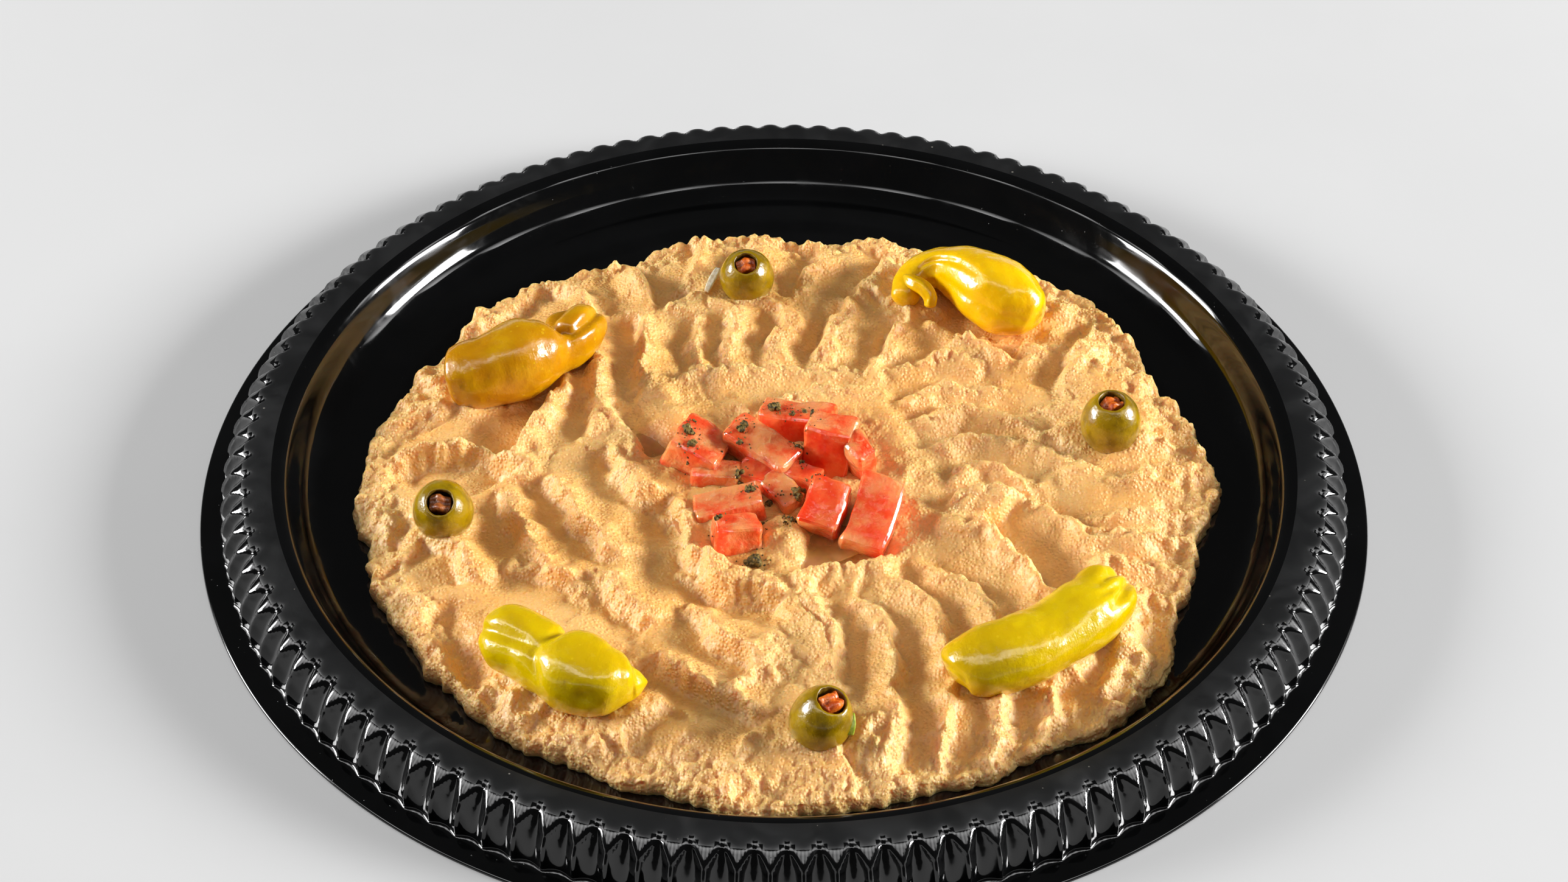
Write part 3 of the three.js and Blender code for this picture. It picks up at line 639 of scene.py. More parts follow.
    def _olive_flesh(self) -> bpy.types.Material:
        """The cut wall of the bore."""
        finish = Finish("olive_flesh", 0.3, 0.2, (1.0, 0.8, 0.2), 0.003, coat=0.3)
        return self._flesh(finish, 500.0, (0.1, 0.055, 0.002), (0.22, 0.13, 0.01), (0.0012,), 0.0004)

    def _pimento(self, name: str, low: Rgb, high: Rgb) -> bpy.types.Material:
        """Wet strip of pimento."""
        finish = Finish(name, 0.25, 0.25, (1.0, 0.3, 0.1), 0.002, coat=0.4, coat_roughness=0.1)
        return self._flesh(finish, 420.0, low, high, (0.001,), 0.0004)

    def _tomato_cut(self) -> bpy.types.Material:
        """Cut tomato flesh: pale veins in wet red.

        Returns:
            The material.
        """
        finish = Finish("tomato_cut", 0.15, 0.85, (1.0, 0.3, 0.1), 0.006, coat=1.0, coat_roughness=0.03)
        paint = Paint(self.effects, finish)
        red = paint.mottle(90.0, (0.92, 0.085, 0.018), (1.0, 0.36, 0.13))
        vein = paint.remap(paint.noise(0.005, 4.0, 0.55, 2.0), 0.56, 0.74, 0.0, 0.5)
        wet = paint.remap(paint.noise(0.0018, 3.0), 0.35, 0.7, 0.06, 0.2)
        return paint.done(paint.blend(vein, red, (1.0, 0.6, 0.32)), wet, paint.pucker(230.0, 0.2), 0.0014)

    def _tomato_skin(self) -> bpy.types.Material:
        """Shiny outer skin.

        Returns:
            The material.
        """
        finish = Finish("tomato_skin", 0.12, 0.75, (1.0, 0.2, 0.05), 0.005, coat=1.0, coat_roughness=0.03)
        paint = Paint(self.effects, finish)
        drops = paint.times(paint.specks(900.0, 0.55), 0.1)
        height = paint.sum(drops, paint.pucker(200.0, 0.1))
        return paint.done(paint.mottle(120.0, (0.92, 0.07, 0.016), (1.0, 0.2, 0.06)), None, height, 0.0014)

    def _herb(self) -> bpy.types.Material:
        """Dried, crumbled leaves.

        Returns:
            The material.
        """
        finish = Finish("dried_herb", 0.6, coat=0.08, coat_roughness=0.2, specular=0.3)
        low, high = (0.035, 0.026, 0.005), (0.27, 0.18, 0.035)
        return self._flesh(finish, 1100.0, low, high, (0.0006, 4.0, 0.7), 0.0005)

    def _juice(self) -> bpy.types.Material:
        """Thin brine and tomato juice.

        Returns:
            The material.
        """
        look = {"coat": 1.0, "coat_roughness": 0.02, "ior": 1.35}
        paint = Paint(self.effects, Finish("thin_juice", 0.05, 0.6, (1.0, 0.4, 0.1), 0.004, **look))
        tint = paint.remap(paint.noise(0.009, 2.0), 0.35, 0.65, 0.0, 1.0)
        colour = paint.blend(tint, (0.62, 0.33, 0.09), (0.72, 0.3, 0.12))
        paint.feed(paint.shader, "Alpha", paint.remap(paint.noise(0.006, 2.0), 0.3, 0.7, 0.3, 0.55))
        return paint.done(colour, None, paint.noise(0.005, 1.0), 0.0002)

    def _vegetable(self, name: str, low: Rgb, high: Rgb) -> bpy.types.Material:
        """Small translucent bits of vegetable."""
        finish = Finish(name, 0.3, 0.3, (1.0, 0.8, 0.4), 0.002, coat=0.2)
        return self._flesh(finish, 500.0, low, high, (0.0012,), 0.0003)

    def _flesh(
        self, finish: Finish, scale: float, low: Rgb, high: Rgb, grain: tuple[float, ...], depth: float
    ) -> bpy.types.Material:
        """A mottled finish with an even relief, whose grain is its noise's size, detail and roughness."""
        paint = Paint(self.effects, finish)
        return paint.done(paint.mottle(scale, low, high), None, paint.noise(*grain), depth)

    def _table(self) -> bpy.types.Material:
        """The pale surface under the tray."""
        paint = Paint(self.effects, Finish("pale_table", 0.6, specular=0.2))
        return paint.done(paint.mottle(3.0, (0.67, 0.67, 0.67), (0.69, 0.69, 0.69)))


# ---- Tray ----------------------------------------------------------------------------------------
@dataclass
class Tray:
    """The pressed tray: a flat floor, a raised shelf, a curved wall, a flat land and a scooped rim."""

    radius: float = 178.0
    floor_top: float = 1.4
    shelf_top: float = 2.8
    land_inner: float = 153.9
    scoops: int = 120
    columns: int = 12  # columns of faces for each scoop
    phase: float = 6.49  # degrees from +X to the middle of the first scoop
    wall_levels: int = 23
    petal_top: float = 0.18  # share of the wall's height where a scoop's point starts
    petal_tip: float = 0.52  # share where the scoops reach their full width
    petal_round: float = 0.8  # below 1, the point of a scoop is rounded
    notch_start: float = 0.05  # share where the notches above the scoops are deepest
    notch_end: float = 0.2  # share where they end
    notch_half: float = 0.07  # half width of a notch, in scoops
    notch_depth: float = 0.3
    bump_height: float = 1.3  # how far the rounded bumps of the shoulder stand above the V between them
    bump_window: tuple[float, ...] = (0.02, 0.14, 0.4, 0.62)  # shares where the bumps rise and fade
    bump_way: tuple[float, float] = (0.6, 0.8)  # the V lies this far inwards and down
    satin_outer: float = 163.8  # the ridges' tops are satin as far as this
    satin_depth: float = 0.3  # and down to this below a ridge
    tolerance: float = 0.02  # how far a point may be off its level

    # Share of the way down the outer wall, radius and height: along a ridge, and along a scoop.
    ridge: tuple[Point, ...] = (
        (0, 160.2, 17.33), (0.1, 162.6, 17.2), (0.16, 163.6, 16.95), (0.22, 164.4, 16.45),
        (0.42, 167.6, 14), (0.55, 169.3, 12), (0.68, 170.5, 9.8), (0.8, 171.2, 7.4), (0.9, 171.5, 4.8),
        (1, 171.4, 1.6),
    )
    scoop: tuple[Point, ...] = (
        (0, 160.2, 17.33), (0.1, 161.8, 16.95), (0.2, 163, 16), (0.32, 164.3, 14.3), (0.44, 165.5, 12.4),
        (0.55, 166.5, 10.4), (0.68, 167.7, 7.9), (0.8, 168.7, 5.6), (0.9, 169.5, 3.7), (1, 170.1, 1.6),
    )

    def inside_profile(self) -> list[tuple[float, float]]:
        """Radius and height from the middle of the floor to the outer edge of the land.

        Returns:
            The points, outwards.
        """
        floor, shelf = self.floor_top, self.shelf_top
        return [
            (0.0, floor), (60.0, floor), (121.5, floor), (123.2, floor + 0.03), (124.1, 1.65),
            (126.4, 2.55), (127.3, shelf - 0.04), (128.6, shelf), (137.6, shelf), (139.4, 2.88),
            (141.3, 3.15), (143.1, 3.8), (144.8, 4.9), (146.2, 6.3), (147.4, 8.1), (148.5, 10.3),
            (149.5, 12.4), (150.4, 14.3), (151, 15.3), (151.8, 16.1), (152.7, 16.6),
            (self.land_inner, 16.9), (155.0, 17.1), (157.0, 17.3), (158.8, 17.35),
        ]

    def edge_profile(self) -> list[tuple[float, float]]:
        """Radius and height round the flange and back along the underside.

        Returns:
            The points, from the foot of the outer wall to the middle of the underside.
        """
        return [
            (171.9, 1.42), (172.6, 1.3), (177.2, 1.28), (177.75, 1.1), (self.radius, 0.6),
            (177.8, 0.05), (177.4, 0), (169.6, 0), (168.6, 0.9), (166.9, 4.4), (164.6, 9.6), (162.4, 13.6),
            (160.8, 15.2), (156.2, 15.4), (152.9, 14.4), (150.6, 11.6), (147.2, 4), (143, 1), (139, 0),
            (0, 0),
        ]

    def wall_profile(self) -> list[tuple[float, float]]:
        """Radius and height of the outer wall's levels, along a ridge."""
        return [self._on_line(self.ridge, share) for share in np.linspace(0.0, 1.0, self.wall_levels)]

    @staticmethod
    def _on_line(line: tuple[Point, ...], share: float) -> tuple[float, float]:
        """Radius and height at a share of a line."""
        shares, radii, heights = np.array(line).T
        return float(np.interp(share, shares, radii)), float(np.interp(share, shares, heights))

    def _press_scoops(self, bm: bmesh.types.BMesh) -> None:
        """Moves the outer wall's points from the ridges into the scoops.

        Args:
            bm: The spun tray, with the middle of a scoop at the phase's angle.
        """
        levels = np.array(self.wall_profile())
        last = self.wall_levels - 1
        scoop_places = [self._on_line(self.scoop, level / last) for level in range(self.wall_levels)]
        pitch, phase = TAU / self.scoops, math.radians(self.phase)
        rise, full, fall, end = self.bump_window
        inwards, downwards = self.bump_way
        for vert in bm.verts:
            radius = math.hypot(vert.co.x, vert.co.y)
            misses = np.hypot(levels[:, 0] - radius, levels[:, 1] - vert.co.z)
            nearest = int(np.argmin(misses))
            if misses[nearest] > self.tolerance or nearest == 0:
                continue
            share = nearest / last
            across = ((math.atan2(vert.co.y, vert.co.x) - phase) / pitch + 0.5) % 1.0 - 0.5
            reach = (share - self.petal_top) / (self.petal_tip - self.petal_top)
            half = 0.5 * min(max(reach, 1e-4), 1.0) ** self.petal_round
            weight = max(0.0, 1.0 - (across / half) ** 2) if reach > 0.0 else 0.0
            scoop_radius, scoop_height = scoop_places[nearest]
            wanted = radius + (scoop_radius - radius) * weight
            height = vert.co.z + (scoop_height - vert.co.z) * weight
            notch = max(0.0, 1.0 - abs(across) / self.notch_half)
            fade = min(share / self.notch_start, 1.0) * max(0.0, 1.0 - share / self.notch_end)
            height -= self.notch_depth * notch * fade
            window = smooth_step(share, rise, full) * (1.0 - smooth_step(share, fall, end))
            dip = self.bump_height * window * (1.0 - weight) * (1.0 - 2.0 * abs(across)) ** 2
            wanted -= inwards * dip
            vert.co.x *= wanted / radius
            vert.co.y *= wanted / radius
            vert.co.z = height - downwards * dip

    def _paint_satin(self, bm: bmesh.types.BMesh) -> None:
        """Gives the second finish to the land and to the tops of the ridges.

        Args:
            bm: The pressed tray.
        """
        _, radii, heights = np.array(self.ridge).T
        for face in bm.faces:
            place = face.calc_center_median()
            radius = math.hypot(place.x, place.y)
            if self.land_inner < radius < self.satin_outer:
                lowest = np.interp(radius, radii, heights) - self.satin_depth
                face.material_index = int(place.z > lowest)

    def build(self, finishes: Finishes) -> None:
        """Spins the profile, presses the scoops and dresses the tray.

        Args:
            finishes: Every material of the platter.
        """
        outline = self.inside_profile() + self.wall_profile() + self.edge_profile()
        bm = spin_outline(outline, self.scoops * self.columns)
        bmesh.ops.rotate(bm, matrix=Matrix.Rotation(math.radians(self.phase), 3, "Z"), verts=bm.verts)
        self._press_scoops(bm)
        bmesh.ops.recalc_face_normals(bm, faces=bm.faces)
        self._paint_satin(bm)
        register(finish_piece("tray_shell", bm, [finishes.tray_gloss, finishes.tray_satin]), "tray", "tray")

    def top_at(self, radius: np.ndarray) -> np.ndarray:
        """Height of the tray's inner surface at a radius."""
        radii, heights = np.array(self.inside_profile()).T
        return np.interp(radius, radii, heights)


# ---- Hummus --------------------------------------------------------------------------------------
@dataclass(frozen=True)
class Sweeps:
    """Sweeps of the spoon of one size. Each leaves a steep crest with its trough on its left."""

    width: float
    depth: float
    lines: tuple[tuple[float, float, float, float, float, float], ...]


@dataclass(frozen=True)
class Oval:
    """A turned oval place on the disc, such as a hollow or a pool of juice."""

    x: float
    y: float
    half_x: float
    half_y: float
    turn: float
    amount: float  # a hollow's depth, or a pool's level

    def inside(self, x: np.ndarray, y: np.ndarray) -> np.ndarray:
        """1 in the middle, 0 at the edge and below 0 outside.

        Args:
            x: Places along X in millimetres.
            y: Places along Y.

        Returns:
            Numbers of 1 and less.
        """
        angle = math.radians(self.turn)
        u = ((x - self.x) * math.cos(angle) + (y - self.y) * math.sin(angle)) / self.half_x
        v = (-(x - self.x) * math.sin(angle) + (y - self.y) * math.cos(angle)) / self.half_y
        return 1 - u * u - v * v


@dataclass
class Hummus:
    """The disc of hummus, spread with the back of a spoon."""

    centre_x: float = 0.0
    centre_y: float = -12.0
    radius: float = 124.6
    top: float = 13.4
    edge_top: float = 8.6
    edge_start: float = 0.84
    foot_share: float = 1.015
    bank_share: float = 0.94  # share of the mesh that lies on top, the rest is the bank
    cells: int = 312  # squares along each side of the grid
    steep: float = 4.2
    arms: float = 27.0  # how many faint ridges run outwards between the named ones
    wave_depth: float = 3.0
    crest_lift: float = 0.36
    crest_line: float = -1.8  # where the crest is, as a distance to the left of the sweep's line
    crest_front: float = 4.5  # its width on the outer side
    crest_back: float = 2.0  # and on the side of the trough
    end_fade: float = 0.14  # share of a sweep's length over which it fades in and out
    deepest: float = 8.5  # a trough and a hollow together cut no deeper
    arms_y: float = -6.0  # the arms start round this place on the Y axis
    arms_start: float = 46.0  # this far from it they fade in
    arms_full: float = 74.0
    swell: float = 1.5  # height of the widest unevenness
    swell_size: float = 32.0
    lump: float = 1.8  # height of the lumps that the spoon left
    lump_size: float = 14.0
    crumb_heights: Point = (2.5, 1.3, 0.36)  # of lumps, grains and fine grains
    crumb_sizes: Point = (6.0, 3.2, 1.7)  # how wide those are
    ragged: float = 2.0  # how far crests wander
    clearance: float = 0.15
    bottom_radius: float = 120.0  # the flat underside ends here
    foot_inset: float = 2.0  # and at least this far inside the foot
    bank_run: float = 12.0  # length of the bank, for the pattern on it
    bank_lump: float = 1.8  # height of its lumps
    bank_grain: float = 1.5
    bank_fine: float = 0.6
    rim_wave: float = 1.5  # how far the edge wanders in and out
    rim_wave_fine: float = 1.1

    bulges: tuple[Point, ...] = (
        (44, 15, 8), (4, 10, 4.5), (-25, 8, -1.5), (-42, 12, 8), (-88, 14, 2.6), (179, 12, 3.5),
        (143, 8, 1.5), (88, 10, -4.5), (18, 5, 1),
    )
    sweeps: tuple[Sweeps, ...] = (
        Sweeps(15, 5.0, (  # short grooves behind the tomatoes
            (-59, 0, -60, 24, -61, 48), (-45, 18, -46, 42, -48, 68), (-29, 32, -29, 50, -28, 68),
            (-20, 34, -19, 52, -16, 70), (-7, 36, -4, 52, 0, 68), (9, 36, 13, 53, 20, 72),
            (24, 34, 30, 48, 39, 62),
        )),
        Sweeps(17, 5.4, (  # curved fan in front, to the right
            (5, -62, 15, -76, 14, -104), (16, -62, 30, -76, 31, -104), (28, -56, 44, -68, 47, -100),
            (38, -50, 56, -60, 62, -84),
        )),
        Sweeps(26, 7.6, (  # deep scoops
            (58, -30, 66, -42, 79, -62), (-14, -66, -27, -46, -33, -18), (-56, 98, -49, 88, -40, 68),
            (45, 64, 58, 53, 74, 42), (-86, -6, -79, 10, -68, 38), (-78, -14, -96, -2, -122, -8),
        )),
        Sweeps(18, 5.6, (  # arched terraces on the right
            (38, 8, 60, 21, 87, 4), (43, -3, 64, 7, 101, -12), (48, -16, 62, -6, 78, -19),
            (46, -29, 67, -19, 97, -42), (-57, 20, -50, 12, -41, -7), (34, 20, 50, 30, 74, 28),
            (60, 60, 76, 52, 94, 50),
        )),
        Sweeps(19, 5.4, (  # slanting ridges in front and to the left
            (-44, -50, -60, -36, -70, -10), (-66, -52, -76, -42, -84, -18), (-52, -66, -66, -57, -86, -47),
            (-36, -76, -47, -66, -58, -50), (2, -64, -18, -61, -34, -51), (-6, -92, -19, -80, -28, -62),
            (-4, -112, -22, -102, -38, -86), (-104, -66, -98, -82, -86, -102),
            (-92, -60, -97, -46, -108, -38), (-30, -32, -44, -22, -54, 2), (-84, -76, -74, -86, -66, -104),
        )),
        Sweeps(18, 4.6, (  # ridges behind, up to the edge
            (-82, 84, -68, 80, -60, 62), (2, 72, 8, 88, 13, 106), (20, 70, 28, 86, 38, 100),
            (-34, 72, -32, 88, -26, 106), (86, 28, 90, 42, 98, 66), (98, 44, 104, 40, 118, 40),
            (-76, 84, -90, 68, -108, 52), (-104, 22, -112, 14, -124, 12), (-14, 72, -14, 88, -8, 106),
            (-50, 72, -52, 88, -46, 104), (-84, 20, -92, 30, -108, 34), (62, 66, 68, 78, 80, 84),
            (44, 40, 54, 50, 66, 54), (-8, 14, 6, 26, 28, 28),
        )),
        Sweeps(15, 4.8, (  # ridges that run out over the front edge
            (46, -100, 47, -112, 42, -128), (30, -96, 33, -112, 28, -130), (60, -100, 62, -110, 57, -124),
            (74, -98, 76, -106, 70, -118), (86, -100, 93, -92, 95, -80), (98, -70, 103, -84, 98, -108),
            (-30, -104, -38, -112, -44, -122),
        )),
        Sweeps(12, 4.2, (  # narrow ledges at the right edge and round the right olive
            (86, -38, 104, -37, 124, -35), (88, -47, 104, -48, 122, -48), (92, -56, 106, -58, 120, -58),
            (84, -28, 104, -26, 126, -24), (96, -14, 110, -8, 128, 0), (-40, 31, -5, 39, 30, 35),
            (89, 22, 86, 32, 90, 42), (66, 14, 80, 21, 92, 22), (91, -6, 86, 4, 82, 15),
            (72, 40, 80, 48, 86, 62), (-34, -34, -22, -49, 2, -58), (0, -57, 16, -49, 36, -46),
            (30, 34, 48, 44, 66, 40), (110, 12, 118, 6, 130, 6),
        )),
    )
    hollows: tuple[Oval, ...] = (
        Oval(-1, -16, 44, 38, 0, 3.6), Oval(22, -40, 26, 15, 8, 3), Oval(-16, -42, 15, 9, 0, 2),
        Oval(-24, 22, 16, 8, -40, 2.5), Oval(-42, 4, 12, 8, -30, 1), Oval(-88, -40, 11, 10, 0, 2.6),
        Oval(-90, -62, 22, 11, -10, 1.8), Oval(-92, 5, 14, 11, 0, 2), Oval(-12, -52, 14, 6, 0, 0.8),
        Oval(-14, -66, 18, 8, -20, 2), Oval(-36, 74, 10, 7, 20, 2), Oval(1, -37, 7, 11, 20, -4),
        Oval(-38, 13, 10, 9, 0, -3),
    )

    def edge_radius(self, angle: np.ndarray) -> np.ndarray:
        """Radius of the outline at an angle.

        Args:
            angle: Angles round the disc's middle, in radians.

        Returns:
            The radii in millimetres.
        """
        degrees = np.degrees(angle)
        radius = self.radius + 0.9 * np.sin(11 * angle + 1) + 0.8 * np.sin(23 * angle + 2)
        for at, half, height in self.bulges:
            turn = np.mod(degrees - at + 180.0, 360.0) - 180.0
            radius = radius + height * np.exp(-((turn / half) ** 2))
        return radius

    @staticmethod
    def _place_on_line(
        line: tuple[float, ...], x: np.ndarray, y: np.ndarray
    ) -> tuple[np.ndarray, np.ndarray, np.ndarray]:
        """Share along a sweep, distance to its left and distance away from it.

        Args:
            line: X and Y of the sweep's start, of its middle and of its end.
            x: Places along X in millimetres.
            y: Places along Y.

        Returns:
            The shares from 0 to 1, the signed distances and the plain ones.
        """
        x0, y0, xm, ym, x1, y1 = line
        xc, yc = 2 * xm - (x0 + x1) / 2, 2 * ym - (y0 + y1) / 2
        steps = 12
        best = np.full(x.shape, 1e9)
        along = np.zeros(x.shape)
        left = np.zeros(x.shape)
        px, py = x0, y0
        for k in range(1, steps + 1):
            t = k / steps
            qx = (1 - t) ** 2 * x0 + 2 * t * (1 - t) * xc + t * t * x1
            qy = (1 - t) ** 2 * y0 + 2 * t * (1 - t) * yc + t * t * y1
            dx, dy = qx - px, qy - py
            length = math.hypot(dx, dy)
            share = np.clip(((x - px) * dx + (y - py) * dy) / length**2, 0.0, 1.0)
            away = np.hypot(x - px - share * dx, y - py - share * dy)
            side = np.sign(dx * (y - py) - dy * (x - px))
            nearer = away < best
            best = np.where(nearer, away, best)
            along = np.where(nearer, (k - 1 + share) / steps, along)
            left = np.where(nearer, side * away, left)
            px, py = qx, qy
        return along, left, best

    @staticmethod
    def _join(near: np.ndarray, field: np.ndarray, values: np.ndarray) -> np.ndarray:
        """The larger of a field and new values where they are near, and the field elsewhere."""
        return np.where(near, np.maximum(field, values), field)

    def surface(self, x: np.ndarray, y: np.ndarray, share: np.ndarray) -> tuple[np.ndarray, np.ndarray]:
        """Height of the spread surface, and how crumbly it is.

        Args:
            x: Places along X.
            y: Places along Y.
            share: Share of the disc's radius.

        Returns:
            The heights, and numbers from 0, smoothed, to 1, crumbly.
        """
        trough, crest, smoothed, torn = (np.zeros(x.shape) for _ in range(4))
        for family in self.sweeps:
            for line in family.lines:
                along, left, away = self._place_on_line(line, x, y)
                near = away < family.width
                fade = smooth_step(along, 0.0, self.end_fade) * smooth_step(1 - along, 0.0, self.end_fade)
                inner = np.clip(1 - left / family.width, 0.0, 1.0)
                cut = family.depth * fade * smooth_step(left, -2.0, self.steep) * inner
                trough = self._join(near, trough, cut)
                half = np.where(left < self.crest_line, self.crest_front, self.crest_back)
                lift = fade * np.exp(-(((left - self.crest_line) / half) ** 2))
                crest = self._join(near, crest, self.crest_lift * family.depth * lift)
                calm = fade * smooth_step(left, 2.0, 5.0) * smooth_step(family.width - left, 0.0, 4.0)
                smoothed = self._join(near, smoothed, calm)
                ragged = fade * np.exp(-(((left + 0.5) / 3.2) ** 2))
                torn = self._join(near, torn, ragged)
        dip = np.zeros(x.shape)
        for hollow in self.hollows:
            dip += hollow.amount * np.clip(hollow.inside(x, y), 0.0, 1.0) ** 1.2
        busy = np.clip(smoothed + torn, 0.0, 1.0)
        arms = (np.arctan2(y - self.arms_y, x) / TAU * self.arms + 0.9 * ripple(x, y, 34.0, 2, 5)) % 1.0
        waves = (1.0 - busy) * smooth_step(np.hypot(x, y - self.arms_y), self.arms_start, self.arms_full)
        folds = self.wave_depth * waves * (arms - 0.5 - smooth_step(arms, 0.78, 1.0))
        torn = np.maximum(torn, 0.9 * waves * np.exp(-(((arms - 0.84) / 0.14) ** 2)))
        lumps = (1.1 - 0.5 * smoothed) * (self.lump * np.abs(ripple(x, y, self.lump_size, 2, 9)) - 0.5)
        swell = self.swell * ripple(x, y, self.swell_size, 1, 3)
        fall = (self.top - self.edge_top) * smooth_step(share, self.edge_start, 1.0)
        height = self.top - fall - np.minimum(trough + dip, self.deepest) + crest + folds + lumps + swell
        edge = smooth_step(share, 0.88, 0.98)
        crumb = np.clip(0.3 - 0.2 * smoothed + 0.75 * torn + 0.6 * edge, 0.1, 1.0)
        return height, crumb

    def _disc_places(self, bm: bmesh.types.BMesh) -> tuple[np.ndarray, np.ndarray]:
        """Share of the mesh's radius and angle of each point of a square grid that is wrapped to a disc.

        Args:
            bm: The grid, from -1 to 1 each way.

        Returns:
            The shares and the angles in radians.
        """
        a, b = np.array([(vert.co.x, vert.co.y) for vert in bm.verts]).T
        wide = np.abs(a) >= np.abs(b)
        safe_a = np.where(np.abs(a) < 1e-9, 1e-9, a)
        safe_b = np.where(np.abs(b) < 1e-9, 1e-9, b)
        ring = np.where(wide, a, b)
        angle = np.where(wide, math.pi / 4 * b / safe_a, math.pi / 2 - math.pi / 4 * a / safe_b)
        angle = np.where(ring < 0, angle + math.pi, angle)
        return np.abs(ring), np.mod(angle + math.pi, TAU) - math.pi

    def build(self, finishes: Finishes, tray: Tray, wet_spots: Callable) -> bpy.types.Object:
        """Shapes a fine grid into the disc.

        Args:
            finishes: The platter's materials.
            tray: What the hummus lies on.
            wet_spots: Gives the wetness of each place, from 0 to 1.

        Returns:
            The hummus piece.
        """
        bm = bmesh.new()
        bmesh.ops.create_grid(bm, x_segments=self.cells, y_segments=self.cells, size=1.0)
        ring, angle = self._disc_places(bm)
        over = np.clip((ring - self.bank_share) / (1.0 - self.bank_share), 0.0, 1.0)
        share = np.minimum(ring / self.bank_share, 1.0)
        edge = self.edge_radius(angle)
        rim_x, rim_y = self.bottom_radius * np.cos(angle), self.bottom_radius * np.sin(angle)
        edge = edge + self.rim_wave * ripple(rim_x, rim_y, 15.0, 2, 11)
        edge = edge + self.rim_wave_fine * ripple(rim_x, rim_y, 5.0, 2, 12)
        reach = share * edge
        x = self.centre_x + reach * np.cos(angle)
        y = self.centre_y + reach * np.sin(angle)
        drift_x, drift_y = ripple(x, y, 11.0, 2, 31), ripple(x, y, 11.0, 2, 57)
        height, crumb = self.surface(x + self.ragged * drift_x, y + self.ragged * drift_y, share)
        wet = np.clip(wet_spots(x, y, height), 0.0, 1.0)
        crumb = crumb * (1.0 - 0.7 * wet)
        lump_size, grain_size, fine_size = self.crumb_sizes
        lumps = np.abs(ripple(x, y, lump_size, 3, 83)) - 0.25
        grains = 0.36 - pebbles(x + drift_y, y + drift_x, grain_size, 91) ** 2
        fine = 0.3 - pebbles(x, y, fine_size, 95) ** 2
        lump, grain, small = self.crumb_heights
        height = height + crumb * (lump * lumps + grain * grains + small * fine) + 0.08 * fine
        self._shape_bank(bm, tray, (over, angle, edge, height, crumb, x, y))
        self._close_bottom(bm, tray)
        bmesh.ops.recalc_face_normals(bm, faces=bm.faces)
        piece = finish_piece("hummus_disc", bm, [finishes.hummus])
        carry(piece, "crumb", crumb)
        carry(piece, "wet", wet)
        register(piece, "hummus", "hummus")
        return piece

    def _shape_bank(self, bm: bmesh.types.BMesh, tray: Tray, field: tuple[np.ndarray, ...]) -> None:
        """Moves the grid's points to the surface, and its outer rings down the lumpy bank.

        Args:
            bm: The grid.
            tray: What the bank stands on.
            field: Share down the bank, angle, edge radius, height, crumb and place of each point.
        """
        over, angle, edge, height, crumb, x, y = field
        around, down = self.radius * angle, self.bank_run * over
        pushes = self.bank_lump * (np.abs(ripple(around, down, 8.0, 2, 61)) - 0.2)
        grains = self.bank_grain * (0.35 - pebbles(around, down, 3.4, 62) ** 2)
        pushes += grains + self.bank_fine * ripple(around, down, 2.0, 1, 63)
        for index, vert in enumerate(bm.verts):
            if over[index] <= 0.0:
                vert.co = (x[index], y[index], height[index])
                continue
            turn = over[index] * math.pi / 2
            out = edge[index] * (1 + (self.foot_share - 1) * math.sin(turn))
            cos, sin = math.cos(angle[index]), math.sin(angle[index])
            px, py = self.centre_x + out * cos, self.centre_y + out * sin
            foot = float(tray.top_at(np.array([math.hypot(px, py)]))[0]) + self.clearance
            level = foot + (height[index] - foot) * math.cos(turn) ** 0.8
            push = pushes[index] * math.sin(turn) * (1.0 - 0.5 * over[index])
            vert.co = (px + push * cos, py + push * sin, max(level, foot))

    def _close_bottom(self, bm: bmesh.types.BMesh, tray: Tray) -> None:
        """Turns the foot inwards and closes it with one flat face.

        Args:
            bm: The disc, open below.
            tray: The tray that it lies on.
        """
        rim = [edge for edge in bm.edges if edge.is_boundary]
        grown = bmesh.ops.extrude_edge_only(bm, edges=rim)["geom"]
        verts = [item for item in grown if isinstance(item, bmesh.types.BMVert)]
        level = tray.floor_top + self.clearance
        for vert in verts:
            away = math.hypot(vert.co.x, vert.co.y)
            wanted = min(self.bottom_radius, away - self.foot_inset)
            vert.co.x *= wanted / away
            vert.co.y *= wanted / away
            vert.co.z = level
        edges = [item for item in grown if isinstance(item, bmesh.types.BMEdge)]
        bmesh.ops.edgeloop_fill(bm, edges=edges)


# ---- Peppers -------------------------------------------------------------------------------------
@dataclass(frozen=True)
class Dent:
    """A local change of a pepper's radius: place along (0 to 1) and round (degrees), sizes and height."""

    along: float
    around: float
    half_along: float
    half_around: float
    height: float


@dataclass(frozen=True)
class Crease:
    """A narrow furrow from one place on a pepper to another."""

    along: float
    around: float
    to_along: float
    to_around: float
    width: float
    depth: float


